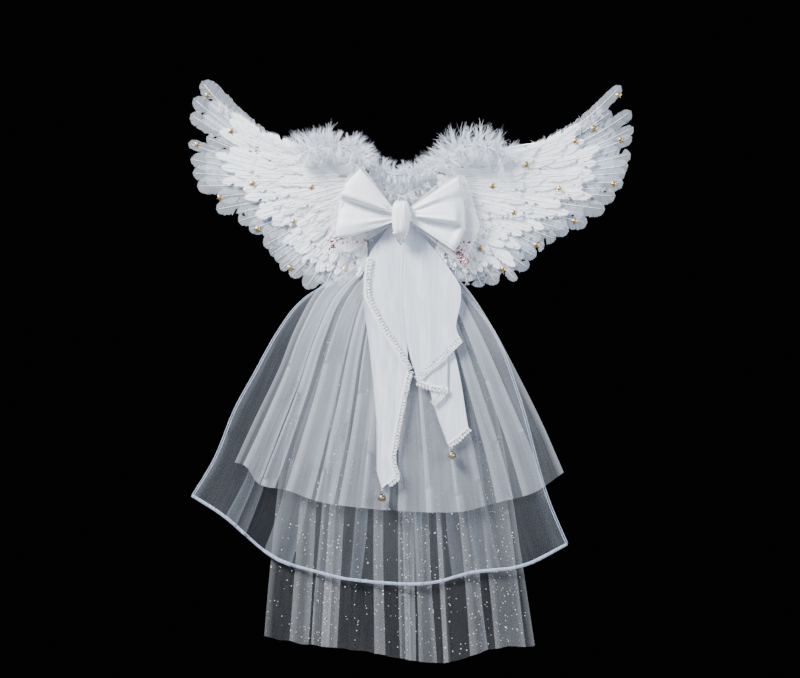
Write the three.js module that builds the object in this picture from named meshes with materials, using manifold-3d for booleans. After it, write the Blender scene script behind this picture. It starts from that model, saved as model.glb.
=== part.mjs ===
// Children's costume wings. Two wire-framed feather wings hinge on a padded back board, which
// also carries marabou trim, a satin bow over a sheer bow, two sash tails with jingle bells,
// a three-layer train and two elastic arm straps.
// Millimetres, +Z up. The show side faces -Y and the wearer's back is on the +Y side.
// The origin is the centre of the back pad's rear face.
import * as THREE from "three";
import { mergeVertices } from "three/addons/utils/BufferGeometryUtils.js";
import Module from "manifold-3d";

const wasm = await Module();
wasm.setup();

// Clearances
const GAP = 0.3; // between glued, sewn or stacked layers
const ROD_CLEARANCE = 0.3; // around a hinge rod, in sleeves and wire eyes
const SIDE_CLEARANCE = 1.5; // between the pad's side and a wire eye
const SWEEP_CLEARANCE = 6; // between the wings' lowest feathers and the train

// Back board
const PAD_WIDTH = 84;
const PAD_HEIGHT = 120;
const PAD_CORNER = 12;
const PAD_THICKNESS = 4;
const BOARD_THICKNESS = 2;
const COVER_THICKNESS = 1.5;
const ROD_RADIUS = 1.25;
const ROD_HEAD_RADIUS = 2.1;
const ROD_HEAD_HEIGHT = 1.2;
const SLEEVE_WALL = 1.4;
const SLEEVE_LENGTH = 12;

// Wings
const WIRE_RADIUS = 1.5;
const EYE_HEIGHT_UPPER = 34;
const EYE_HEIGHT_LOWER = -22;
const CARD_THICKNESS = 1.2;
const LINING_THICKNESS = 1;
const FEATHER_THICKNESS = 1.5;
const WING_RISE = 172;
const WING_REACH_LEFT = 219;
const WING_REACH_RIGHT = 240;
const LEADING_DIP = 33; // how far the leading edge hangs below a straight line, at its middle
const LEADING_SHARE = 0.4; // of the way from the leading edge to the lower edge that still dips
const ROOT_TAPE_SHARE = 0.07; // of the way from the root line to the tips
const MARABOU_RADIUS = 13;
const NECK_MARABOU_RADIUS = 8;

// Bow and sash
const SHEER_THICKNESS = 4;
const SATIN_THICKNESS = 20;
const KNOT_WIDTH = 23;
const KNOT_TOP = 17;
const KNOT_BOTTOM = -20;
const KNOT_DEPTH = 27;
const TAIL_THICKNESS = 4.5;
const TAIL_DROP_LEFT = 335;
const TAIL_DROP_RIGHT = 282;
const TAIL_TIP_LEFT = -25; // X of each tail's tip, where its bell hangs
const TAIL_TIP_RIGHT = 62;
const LACE_THICKNESS = 1;
const LACE_WIDTH = 9;

// Bells
const BELL_RADIUS = 5.5;
const BELL_CLEARANCE = 1.1; // from the bell's back to the train behind it
const BELL_WALL = 0.55;
const BELL_SLOT = 1.6;
const PELLET_RADIUS = 1.6;
const RING_RADIUS = 2.6;
const RING_WIRE = 0.45;
const RING_FORWARD = 1.5; // from the tail's front face to the ring's centre
const LUG_RADIUS = 1.7;
const LUG_WIRE = 0.5;
const LUG_HANG = 0.6; // how far the lug's centre hangs below the ring's wire

// Train
const TAPE_HEIGHT = 12;
const TAPE_THICKNESS = 3.4;
const TAPE_Z = -38;
const TULLE_THICKNESS = 6;
const TOP_TULLE_DROP = 366;
const ORGANZA_DROP = 455;
const GLITTER_DROP = 555;
const HEM_WIDTH = 4;

// Straps
const STRAP_X = 30;
const STRAP_WIDTH = 14;
const STRAP_THICKNESS = 1.6;
const STRAP_DEPTH = 106;
const STRAP_RISE = 56;
const STRAP_FALL = 66;
const STRAP_SEW_Z = 44;
const STRAP_TIP_GAP = 1.9; // from a sewn block to the middle of the strap's tip
const STRAP_TIP_WIDTH = 3;
const ANCHOR_WIDTH = 16;
const ANCHOR_HEIGHT = 10;

// Layers from the wearer's back towards the show side, as the Y of each layer's rear face
const boardY = -PAD_THICKNESS - GAP;
const coverY = boardY - BOARD_THICKNESS - GAP;
const coverFrontY = coverY - COVER_THICKNESS;
const rodY = boardY - BOARD_THICKNESS / 2;
const eyeReach = ROD_RADIUS + ROD_CLEARANCE + 2 * WIRE_RADIUS;
const hingeX = PAD_WIDTH / 2 + SIDE_CLEARANCE + eyeReach;
const cardY = rodY - WIRE_RADIUS - GAP;
const liningY = rodY + WIRE_RADIUS + GAP + LINING_THICKNESS;
const featherY = cardY - CARD_THICKNESS - GAP;
const featherStep = FEATHER_THICKNESS + GAP;

const ROWS = [
  { name: "primary_feathers", count: 10, from: 0, to: 0.47, root: 0.36, tip: 1, width: 21 },
  { name: "secondary_feathers", count: 10, from: 0.52, to: 1, root: 0.36, tip: 1, width: 20 },
  { name: "greater_coverts", count: 15, from: 0.02, to: 0.97, root: 0.28, tip: 0.8, width: 19 },
  { name: "median_coverts", count: 12, from: 0.04, to: 0.95, root: 0.18, tip: 0.6, width: 18 },
  { name: "inner_coverts", count: 9, from: 0.07, to: 0.92, root: 0.06, tip: 0.42, width: 17 },
];
const coversFrontY = featherY - ROWS.length * featherStep;

const tapeY = coverFrontY - GAP;
const organzaY = -TULLE_THICKNESS - GAP;
const topTulleY = organzaY - TULLE_THICKNESS - GAP;
const trainFrontY = topTulleY - TULLE_THICKNESS;
const bellBackY = trainFrontY - BELL_CLEARANCE;
// The tails hang clear of the train, and far enough forward for their bells to clear it too.
const tailY = Math.min(trainFrontY - 2 * GAP, bellBackY - BELL_RADIUS + RING_FORWARD + TAIL_THICKNESS);
const bellY = tailY - TAIL_THICKNESS - RING_FORWARD;
const neckMarabouY = coverFrontY - GAP - NECK_MARABOU_RADIUS;
const sheerY = Math.min(tailY - TAIL_THICKNESS, neckMarabouY - NECK_MARABOU_RADIUS) - 2 * GAP;
const satinY = sheerY - SHEER_THICKNESS - GAP;
const laceY = tailY - TAIL_THICKNESS - GAP;

// A strap's tip turns just behind the block that it is sewn to, which is set into the pad.
const strapTipY = -GAP + STRAP_TIP_GAP;

// Each wing's feather tips end on a curve, given as shares of its reach from the hinge and of
// the rise. The feathers' shafts start along a straight root line.
const LEFT = {
  name: "left",
  side: -1,
  reach: WING_REACH_LEFT,
  tips: [
    [0.92, 1], [1, 0.57], [0.87, 0.12], [0.59, -0.2], [0.38, -0.44], [0.22, -0.49], [0.1, -0.48],
  ],
};
const RIGHT = {
  name: "right",
  side: 1,
  reach: WING_REACH_RIGHT,
  tips: [
    [0.93, 0.96], [1, 0.61], [0.9, 0.14], [0.625, -0.14], [0.4, -0.43], [0.2, -0.49], [0.1, -0.47],
  ],
};
const ROOT_TOP = [0.13, 0.48];
const ROOT_BOTTOM = [0.07, -0.175];

const finishes = {
  satin: { color: 0xf6f7fb, roughness: 0.38 },
  feather: { color: 0xf1f4fa, roughness: 0.7 },
  covert: { color: 0xfbfcff, roughness: 0.75 },
  marabou: { color: 0xfafbfd, roughness: 0.95 },
  felt: { color: 0xf2f2f0, roughness: 0.95 },
  card: { color: 0xe4e2dc, roughness: 0.85 },
  plastic: { color: 0xe9e9ea, roughness: 0.5 },
  steel: { color: 0xb9bcc2, roughness: 0.35, metalness: 1 },
  elastic: { color: 0xf4f4f4, roughness: 0.8 },
  tulle: { color: 0xdfe6f2, roughness: 0.8 },
  organza: { color: 0xe3eaf5, roughness: 0.5 },
  sequin: { color: 0xe9b6bf, roughness: 0.2, metalness: 0.6 },
  lace: { color: 0xffffff, roughness: 0.85 },
  bell: { color: 0xcfc7b4, roughness: 0.25, metalness: 1 },
};

const group = new THREE.Group();

function add(name, geometry, finish) {
  const material = new THREE.MeshStandardMaterial({ metalness: 0, ...finishes[finish] });
  const mesh = new THREE.Mesh(geometry, material);
  mesh.name = name;
  group.add(mesh);
}

function solid(geometry) {
  const bare = geometry.clone();
  bare.deleteAttribute("normal");
  bare.deleteAttribute("uv");
  const merged = mergeVertices(bare, 1e-4);
  return new wasm.Manifold(new wasm.Mesh({
    numProp: 3,
    vertProperties: merged.attributes.position.array,
    triVerts: Uint32Array.from(merged.index.array),
  }));
}

function geometryOf(manifold) {
  const mesh = manifold.getMesh();
  const geometry = new THREE.BufferGeometry();
  geometry.setAttribute("position", new THREE.BufferAttribute(mesh.vertProperties, 3));
  geometry.setIndex(new THREE.BufferAttribute(mesh.triVerts, 1));
  geometry.computeVertexNormals();
  return geometry;
}

// A flat sheet whose outline is given in X and Z, from its rear face at y towards -Y.
function slab(points, y, thickness) {
  const shape = new THREE.Shape(points.map(([x, z]) => new THREE.Vector2(x, z)));
  const geometry = new THREE.ExtrudeGeometry(shape, { depth: thickness, bevelEnabled: false });
  return geometry.rotateX(Math.PI / 2).translate(0, y, 0);
}

function smooth(points, steps, closed = false) {
  const places = points.map(([x, z]) => new THREE.Vector3(x, 0, z));
  const curve = new THREE.CatmullRomCurve3(places, closed, "centripetal");
  const found = curve.getPoints(steps);
  return (closed ? found.slice(0, -1) : found).map((p) => [p.x, p.z]);
}

function roundedRectangle(width, height, corner) {
  const points = [];
  for (const [sx, sz, start] of [[1, 1, 0], [-1, 1, 1], [-1, -1, 2], [1, -1, 3]]) {
    for (let i = 0; i <= 5; i++) {
      const angle = (start + i / 5) * (Math.PI / 2);
      const x = sx * (width / 2 - corner) + corner * Math.cos(angle);
      const z = sz * (height / 2 - corner) + corner * Math.sin(angle);
      points.push([x, z]);
    }
  }
  return points;
}

// A round tube along a smooth curve through points given as [x, y, z].
function tube(points, radius, steps, sides) {
  const section = new THREE.Shape();
  section.absarc(0, 0, radius, 0, 2 * Math.PI, false);
  const path = new THREE.CatmullRomCurve3(points.map((p) => new THREE.Vector3(...p)), false, "centripetal");
  // A full arc is cut into twice as many sides as curveSegments says.
  const options = { steps, curveSegments: sides / 2, bevelEnabled: false, extrudePath: path };
  return new THREE.ExtrudeGeometry(section, options);
}

function uprightCylinder(radius, height, x, y, z, sides = 12) {
  return new THREE.CylinderGeometry(radius, radius, height, sides).rotateX(Math.PI / 2).translate(x, y, z);
}

// A feather vane's outline: narrow at the shaft's root, full in the middle and round at the tip.
function blade(root, tip, bend, width) {
  const [dx, dz] = [tip[0] - root[0], tip[1] - root[1]];
  const length = Math.hypot(dx, dz);
  const across = [-dz / length, dx / length];
  const upper = [];
  const lower = [];
  for (const s of [0, 0.65, 0.86, 0.96]) {
    const rounding = s < 0.65 ? 0.6 + (0.4 * s) / 0.65 : Math.sqrt(1 - ((s - 0.65) / 0.35) ** 2);
    const half = (width / 2) * rounding;
    const rise = bend * 4 * s * (1 - s);
    const x = root[0] + dx * s - across[0] * rise;
    const z = root[1] + dz * s - across[1] * rise;
    upper.push([x + across[0] * half, z + across[1] * half]);
    lower.unshift([x - across[0] * half, z - across[1] * half]);
  }
  return [...upper, tip, ...lower];
}

function leadingDip(t) {
  return LEADING_DIP * Math.max(0, 1 - t / LEADING_SHARE) ** 2;
}

function wingPlace(wing) {
  const tips = wing.tips.map(([u, z]) => [u * wing.reach, z * WING_RISE]);
  const curve = new THREE.CatmullRomCurve3(tips.map(([u, z]) => new THREE.Vector3(u, 0, z)));
  const top = [ROOT_TOP[0] * wing.reach, ROOT_TOP[1] * WING_RISE];
  const bottom = [ROOT_BOTTOM[0] * wing.reach, ROOT_BOTTOM[1] * WING_RISE];
  // The point a share of the way from the root line to the tip curve, for t from 0 at the top.
  return (t, share) => {
    const tip = curve.getPointAt(t);
    const drop = leadingDip(t) * 4 * share * (1 - share);
    const u = THREE.MathUtils.lerp(THREE.MathUtils.lerp(top[0], bottom[0], t), tip.x, share);
    const z = THREE.MathUtils.lerp(THREE.MathUtils.lerp(top[1], bottom[1], t), tip.z, share);
    return [wing.side * (hingeX + u), z - drop];
  };
}

function featherRow(wing, place, row, index) {
  const y = featherY - index * featherStep;
  const blades = [];
  for (let i = 0; i < row.count; i++) {
    const t = THREE.MathUtils.lerp(row.from, row.to, i / (row.count - 1));
    const bend = wing.side * leadingDip(t) * (row.tip - row.root) ** 2;
    const outline = blade(place(t, row.root), place(t, row.tip), bend, row.width);
    blades.push(solid(slab(outline, y, FEATHER_THICKNESS)));
  }
  // The shafts are sewn into a tape that runs across their roots.
  const tape = [];
  for (let i = 0; i <= 10; i++) tape.push(place(THREE.MathUtils.lerp(row.from, row.to, i / 10), row.root));
  for (let i = 10; i >= 0; i--) {
    tape.push(place(THREE.MathUtils.lerp(row.from, row.to, i / 10), row.root + ROOT_TAPE_SHARE));
  }
  const sewn = solid(slab(tape, y, FEATHER_THICKNESS));
  const whole = blades.reduce((sum, next) => sum.add(next), sewn);
  add(`${row.name}_${wing.name}`, geometryOf(whole), index < 2 ? "feather" : "covert");
}

function wingFrame(wing, place) {
  const rodX = wing.side * hingeX;
  const start = rodX + wing.side * (eyeReach - WIRE_RADIUS);
  const inner = rodX + wing.side * (2 * eyeReach);
  const path = [
    [start, rodY, EYE_HEIGHT_UPPER],
    [inner, rodY, EYE_HEIGHT_UPPER + 2],
    ...[[0.03, 0.12], [0.03, 0.55], [0.16, 0.66], [0.4, 0.6], [0.7, 0.55], [0.93, 0.45], [0.97, 0.12]]
      .map(([t, share]) => place(t, share)).map(([x, z]) => [x, rodY, z]),
    [inner, rodY, EYE_HEIGHT_LOWER - 1],
    [start, rodY, EYE_HEIGHT_LOWER],
  ];
  let whole = solid(tube(path, WIRE_RADIUS, 48, 8));
  for (const height of [EYE_HEIGHT_UPPER, EYE_HEIGHT_LOWER]) {
    const eye = new THREE.TorusGeometry(eyeReach - WIRE_RADIUS, WIRE_RADIUS, 8, 14);
    whole = whole.add(solid(eye.translate(rodX, rodY, height)));
  }
  add(`wing_frame_${wing.name}`, geometryOf(whole), "steel");
}

// A sheet that fills the wing from its hinge side out to a share of the feathers' reach.
function wingSheet(name, wing, place, share, y, thickness, finish) {
  const edge = wing.side * (hingeX + eyeReach + SIDE_CLEARANCE);
  const outer = [];
  for (let i = 0; i <= 12; i++) outer.push(place(0.02 + (0.95 * i) / 12, share));
  const upper = [edge, EYE_HEIGHT_UPPER + 22];
  const lower = [edge, EYE_HEIGHT_LOWER - 6];
  add(`${name}_${wing.name}`, slab([upper, ...outer, lower], y, thickness), finish);
}

function marabou(wing) {
  const y = coversFrontY - GAP - MARABOU_RADIUS;
  const path = [[76, 80], [50, 91], [28, 93], [12, 88]].map(([u, z]) => [wing.side * (hingeX + u), y, z]);
  add(`marabou_${wing.name}`, tube(path, MARABOU_RADIUS, 12, 10), "marabou");
}

function makeWing(wing) {
  const place = wingPlace(wing);
  wingFrame(wing, place);
  wingSheet("wing_card", wing, place, 0.62, cardY, CARD_THICKNESS, "card");
  wingSheet("rear_lining", wing, place, 0.7, liningY, LINING_THICKNESS, "felt");
  ROWS.forEach((row, index) => featherRow(wing, place, row, index));
  marabou(wing);
}

function backBoard() {
  const outline = roundedRectangle(PAD_WIDTH, PAD_HEIGHT, PAD_CORNER);
  // The straps' sewn blocks sit in four windows in the pad, below its rear face.
  let pad = solid(slab(outline, 0, PAD_THICKNESS));
  for (const side of [-1, 1]) {
    for (const z of [STRAP_SEW_Z, -STRAP_SEW_Z]) {
      const [wide, high] = [ANCHOR_WIDTH + 2 * GAP, ANCHOR_HEIGHT + 2 * GAP];
      const opening = new THREE.BoxGeometry(wide, 3 * PAD_THICKNESS, high);
      pad = pad.subtract(solid(opening.translate(side * STRAP_X, -PAD_THICKNESS / 2, z)));
    }
  }
  add("back_pad", geometryOf(pad), "felt");
  const sleeveRadius = ROD_RADIUS + ROD_CLEARANCE + SLEEVE_WALL;
  let board = solid(slab(outline, boardY, BOARD_THICKNESS));
  for (const side of [-1, 1]) {
    for (const z of [-PAD_HEIGHT / 2 + PAD_CORNER + SLEEVE_LENGTH / 2, 6, PAD_HEIGHT / 2 - PAD_CORNER]) {
      const arm = new THREE.BoxGeometry(hingeX - PAD_WIDTH / 2 + 4, BOARD_THICKNESS, SLEEVE_LENGTH);
      arm.translate(side * ((hingeX + PAD_WIDTH / 2 - 4) / 2), rodY, z);
      const sleeve = uprightCylinder(sleeveRadius, SLEEVE_LENGTH, side * hingeX, rodY, z);
      board = board.add(solid(arm)).add(solid(sleeve));
    }
    const bore = uprightCylinder(ROD_RADIUS + ROD_CLEARANCE, PAD_HEIGHT + 10, side * hingeX, rodY, 0);
    board = board.subtract(solid(bore));
  }
  add("back_board", geometryOf(board), "plastic");
  add("front_cover", slab(outline, coverY, COVER_THICKNESS), "satin");
}

function hingeRod(name, side) {
  const top = PAD_HEIGHT / 2 - PAD_CORNER + SLEEVE_LENGTH / 2 + GAP;
  const bottom = -PAD_HEIGHT / 2 + PAD_CORNER - GAP;
  const profile = [
    [0, bottom - ROD_HEAD_HEIGHT], [ROD_HEAD_RADIUS, bottom - ROD_HEAD_HEIGHT], [ROD_HEAD_RADIUS, bottom],
    [ROD_RADIUS, bottom], [ROD_RADIUS, top], [ROD_HEAD_RADIUS, top],
    [ROD_HEAD_RADIUS, top + ROD_HEAD_HEIGHT], [0, top + ROD_HEAD_HEIGHT],
  ].map(([r, h]) => new THREE.Vector2(r, h));
  const rod = new THREE.LatheGeometry(profile, 14).rotateX(Math.PI / 2);
  add(`hinge_rod_${name}`, rod.translate(side * hingeX, rodY, 0), "steel");
}

function strap(name, side) {
  const route = [
    [strapTipY, STRAP_SEW_Z], [0.2 * STRAP_DEPTH, STRAP_RISE - 3], [0.56 * STRAP_DEPTH, STRAP_RISE],
    [0.92 * STRAP_DEPTH, 0.7 * STRAP_RISE], [STRAP_DEPTH, 0], [0.93 * STRAP_DEPTH, -0.7 * STRAP_FALL],
    [0.57 * STRAP_DEPTH, -STRAP_FALL], [0.19 * STRAP_DEPTH, 4 - STRAP_FALL], [strapTipY, -STRAP_SEW_Z],
  ];
  const middle = smooth(route, 44).map(([y, z]) => new THREE.Vector2(y, z));
  const sides = [1, -1].map((way) => middle.map((p, i) => {
    const next = middle[Math.min(i + 1, middle.length - 1)];
    const along = next.clone().sub(middle[Math.max(i - 1, 0)]).normalize();
    const offset = new THREE.Vector2(-along.y, along.x).multiplyScalar((way * STRAP_THICKNESS) / 2);
    return p.clone().add(offset);
  }));
  const outline = new THREE.Shape([...sides[0], ...sides[1].reverse()]);
  const band = new THREE.ExtrudeGeometry(outline, { depth: STRAP_WIDTH, bevelEnabled: false });
  const axes = [new THREE.Vector3(0, 1, 0), new THREE.Vector3(0, 0, 1), new THREE.Vector3(1, 0, 0)];
  band.applyMatrix4(new THREE.Matrix4().makeBasis(...axes)).translate(side * STRAP_X - STRAP_WIDTH / 2, 0, 0);
  // Seen from above, the band narrows to its two sewn ends.
  const [narrow, wide] = [STRAP_TIP_WIDTH / 2, STRAP_WIDTH / 2];
  const plan = new THREE.Shape([
    [-narrow, 0], [narrow, 0], [narrow, strapTipY + 3], [wide, strapTipY + 18],
    [wide, STRAP_DEPTH + 5], [-wide, STRAP_DEPTH + 5], [-wide, strapTipY + 18], [-narrow, strapTipY + 3],
  ].map(([x, y]) => new THREE.Vector2(side * STRAP_X + x, y)));
  const height = STRAP_RISE + STRAP_FALL + 40;
  const taper = new THREE.ExtrudeGeometry(plan, { depth: height, bevelEnabled: false });
  taper.translate(0, 0, -height / 2);
  add(`elastic_strap_${name}`, geometryOf(solid(band).intersect(solid(taper))), "elastic");
  for (const [place, z] of [["upper", STRAP_SEW_Z], ["lower", -STRAP_SEW_Z]]) {
    const anchor = new THREE.BoxGeometry(ANCHOR_WIDTH, PAD_THICKNESS - GAP, ANCHOR_HEIGHT);
    anchor.translate(side * STRAP_X, -(PAD_THICKNESS + GAP) / 2, z);
    add(`strap_anchor_${place}_${name}`, anchor, "elastic");
  }
}

function neckMarabou() {
  const reach = PAD_WIDTH / 2 - 3;
  const path = [[-reach, 64], [-reach / 2, 53], [0, 48], [reach / 2, 53], [reach, 64]];
  const places = path.map(([x, z]) => [x, neckMarabouY, z]);
  add("marabou_neck", tube(places, NECK_MARABOU_RADIUS, 12, 10), "marabou");
}

function bow() {
  const knot = [-KNOT_WIDTH / 2, KNOT_WIDTH / 2];
  const waist = [KNOT_TOP, KNOT_BOTTOM];
  const knotOutline = smooth([
    [knot[0] + 1, waist[0]], [0, waist[0] + 1], [knot[1] - 1, waist[0]], [knot[1], 2],
    [knot[1] - 3, waist[1] + 4], [0, waist[1] - 2], [knot[0] + 3, waist[1] + 4], [knot[0], 2],
  ], 24, true);
  add("bow_knot", slab(knotOutline, sheerY, KNOT_DEPTH), "satin");
  const near = KNOT_WIDTH / 2 + GAP + 0.6;
  const satinLeft = [[-near, 10], [-52, 59], [-70, 40], [-75, 29], [-82, -24], [-70, -27], [-near, -4]];
  const satinRight = [[near, 12], [39, 33], [70, 51], [77, 20], [79, -12], [65, -41], [near, -3]];
  const sheerLeft = [[-near, 12], [-54, 69], [-78, 30], [-89, -17], [-90, -44], [-66, -43], [-near, -6]];
  const sheerRight = [[near, 14], [44, 40], [76, 52], [88, 20], [96, -12], [76, -60], [near, -6]];
  add("satin_loop_left", slab(satinLeft, satinY, SATIN_THICKNESS), "satin");
  add("satin_loop_right", slab(satinRight, satinY, SATIN_THICKNESS), "satin");
  add("sheer_loop_left", slab(sheerLeft, sheerY, SHEER_THICKNESS), "organza");
  add("sheer_loop_right", slab(sheerRight, sheerY, SHEER_THICKNESS), "organza");
  const patchLeft = [[-89.5, -26], [-84, -26], [-79, -38], [-83, -43], [-89.8, -43]];
  const patchRight = [[67, -43], [78, -40], [82, -44], [77, -57], [70, -50]];
  add("sequin_trim_left", slab(patchLeft, satinY, 1.4), "sequin");
  add("sequin_trim_right", slab(patchRight, satinY, 1.4), "sequin");
}

// A strip of a given width along one side of an open line, to the line's right as it is drawn.
function strip(points, width) {
  const far = points.map(([x, z], i) => {
    const [ax, az] = points[Math.max(i - 1, 0)];
    const [bx, bz] = points[Math.min(i + 1, points.length - 1)];
    const length = Math.hypot(bx - ax, bz - az);
    return [x + ((bz - az) / length) * width, z - ((bx - ax) / length) * width];
  });
  return [...points, ...far.reverse()];
}

function sash() {
  const [endLeft, endRight] = [-TAIL_DROP_LEFT, -TAIL_DROP_RIGHT];
  const left = [
    [-8, -24], [-40, -38], [-47, -72], [-47, -104], [-40, -160], [-31, endLeft + 83],
    [-31, endLeft + 20], [TAIL_TIP_LEFT, endLeft], [-8, endLeft + 15], [-13, endLeft + 36],
    [-1, endLeft + 107], [9, endLeft + 139], [3, -90], [3, -30],
  ];
  const right = [
    [8, -26], [22, -20], [72, -85], [67, -135], [74, -153], [63, -172], [66, endRight + 56],
    [82, endRight + 22], [TAIL_TIP_RIGHT, endRight], [54, endRight + 3], [40, endRight + 42],
    [24, endRight + 68], [7, -98],
  ];
  add("sash_tail_left", slab(left, tailY, TAIL_THICKNESS), "satin");
  add("sash_tail_right", slab(right, tailY, TAIL_THICKNESS), "satin");
  const laceLeft = smooth([
    [-42, -50], [-45, -99], [-26, -136], [-5, -168], [-2, endLeft + 107], [-14, endLeft + 36],
  ], 20);
  const laceRight = smooth([
    [74, -156], [50, -181], [24, endRight + 80], [44, endRight + 60], [76, endRight + 20],
    [62, endRight + 6],
  ], 20);
  add("lace_trim_left", slab(strip(laceLeft, LACE_WIDTH), laceY, LACE_THICKNESS), "lace");
  add("lace_trim_right", slab(strip(laceRight, -LACE_WIDTH), laceY, LACE_THICKNESS), "lace");
}

function sphere(radius, rounds, sides) {
  const profile = [];
  for (let i = 0; i <= rounds; i++) {
    const angle = -Math.PI / 2 + (Math.PI * i) / rounds;
    const r = i === 0 || i === rounds ? 0 : radius * Math.cos(angle);
    profile.push(new THREE.Vector2(r, radius * Math.sin(angle)));
  }
  return new THREE.LatheGeometry(profile, sides).rotateX(Math.PI / 2);
}

// A jingle bell that hangs by its lug from a jump ring sewn under a sash tail's tip.
function bell(name, x, tailEnd) {
  const wireZ = tailEnd - GAP - 2 * RING_RADIUS - RING_WIRE;
  const ring = new THREE.TorusGeometry(RING_RADIUS, RING_WIRE, 6, 16).rotateY(Math.PI / 2);
  add(`bell_ring_${name}`, ring.translate(x, bellY, wireZ + RING_RADIUS), "steel");
  const lugZ = wireZ - LUG_HANG;
  const centreZ = lugZ - LUG_RADIUS - LUG_WIRE / 2 - BELL_RADIUS + BELL_WALL / 2;
  const lug = new THREE.TorusGeometry(LUG_RADIUS, LUG_WIRE, 6, 14).rotateX(Math.PI / 2);
  const slots = [0, Math.PI / 2].map((turn) => {
    const slot = new THREE.BoxGeometry(1.7 * BELL_RADIUS, BELL_SLOT, BELL_RADIUS).rotateZ(turn);
    return solid(slot.translate(0, 0, -0.75 * BELL_RADIUS));
  });
  let shell = solid(sphere(BELL_RADIUS, 8, 12)).add(solid(lug.translate(0, 0, lugZ - centreZ)));
  shell = shell.subtract(solid(sphere(BELL_RADIUS - BELL_WALL, 8, 12)));
  shell = shell.subtract(slots[0]).subtract(slots[1]);
  add(`bell_shell_${name}`, geometryOf(shell).translate(x, bellY, centreZ), "bell");
  const pelletZ = centreZ - (BELL_RADIUS - BELL_WALL) + PELLET_RADIUS + GAP;
  add(`bell_pellet_${name}`, sphere(PELLET_RADIUS, 6, 10).translate(x, bellY, pelletZ), "steel");
}

function train() {
  const wings = [LEFT, RIGHT].map((wing) => Math.min(...wing.tips.map(([, z]) => z)) * WING_RISE);
  const shoulder = Math.min(...wings) - ROWS[1].width / 2 - SWEEP_CLEARANCE;
  const neck = PAD_WIDTH / 2 - 2;
  const underBoard = -PAD_HEIGHT / 2 - 2;
  const tape = new THREE.BoxGeometry(PAD_WIDTH - 4, TAPE_THICKNESS, TAPE_HEIGHT);
  add("waist_tape", tape.translate(0, tapeY - TAPE_THICKNESS / 2, TAPE_Z), "satin");
  const tulleTop = TAPE_Z - TAPE_HEIGHT / 2 - 2;
  const top = [
    [-neck, tulleTop], [-neck, shoulder + 12], [-90, shoulder], [-114, -136],
    [-140, 170 - TOP_TULLE_DROP], [-209, 62 - TOP_TULLE_DROP], [-177, 34 - TOP_TULLE_DROP],
    [-101, 12 - TOP_TULLE_DROP], [20, 2 - TOP_TULLE_DROP], [72, -TOP_TULLE_DROP],
    [164, 24 - TOP_TULLE_DROP], [201, 49 - TOP_TULLE_DROP], [157, 146 - TOP_TULLE_DROP],
    [116, -142], [82, shoulder], [neck, shoulder + 12], [neck, tulleTop],
  ];
  add("top_tulle", slab(top, topTulleY, TULLE_THICKNESS), "tulle");
  const hem = smooth([
    [-262, 109 - ORGANZA_DROP], [-220, 82 - ORGANZA_DROP], [-162, 33 - ORGANZA_DROP],
    [-55, 3 - ORGANZA_DROP], [30, -ORGANZA_DROP], [86, 13 - ORGANZA_DROP],
    [150, 21 - ORGANZA_DROP], [208, 50 - ORGANZA_DROP],
  ], 24);
  const overlay = [
    [-neck, underBoard], [-neck, shoulder + 8],
    [-122, shoulder], [-154, -139], [-210, 215 - ORGANZA_DROP], [-234, 156 - ORGANZA_DROP], ...hem,
    [178, 121 - ORGANZA_DROP], [120, -150], [84, shoulder], [neck, shoulder + 8], [neck, underBoard],
  ];
  add("organza_overlay", slab(overlay, organzaY, TULLE_THICKNESS), "organza");
  const hemLine = hem.map(([x, z]) => [x, z - GAP]);
  add("organza_hem", slab(strip(hemLine, HEM_WIDTH), organzaY - 2, 2), "satin");
  const glitter = [
    [-neck, underBoard], [-neck, shoulder + 8], [-96, shoulder - 4], [-150, 255 - GLITTER_DROP],
    [-164, 125 - GLITTER_DROP], [-172, 33 - GLITTER_DROP], [-121, 23 - GLITTER_DROP],
    [-47, 14 - GLITTER_DROP], [4, 4 - GLITTER_DROP],
    [57, -GLITTER_DROP], [117, 18 - GLITTER_DROP], [167, 20 - GLITTER_DROP],
    [149, 133 - GLITTER_DROP], [130, 255 - GLITTER_DROP], [78, shoulder - 4],
    [neck, shoulder + 8], [neck, underBoard],
  ];
  add("glitter_tulle", slab(glitter, 0, TULLE_THICKNESS), "tulle");
}

backBoard();
hingeRod("left", -1);
hingeRod("right", 1);
makeWing(LEFT);
makeWing(RIGHT);
neckMarabou();
bow();
sash();
bell("left", TAIL_TIP_LEFT, -TAIL_DROP_LEFT);
bell("right", TAIL_TIP_RIGHT, -TAIL_DROP_RIGHT);
train();
strap("left", -1);
strap("right", 1);

export default group;
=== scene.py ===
"""Children's feather wings with a satin bow, a belled sash and a sheer three-layer train.

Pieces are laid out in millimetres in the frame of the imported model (X to the right as seen
from the show side, Z up, the show side facing -Y) and turned into metres as each mesh is made.
"""

import logging
import math
from dataclasses import dataclass, field
from enum import Enum

import bpy
import numpy as np
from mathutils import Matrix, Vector
from mathutils.bvhtree import BVHTree


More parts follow.
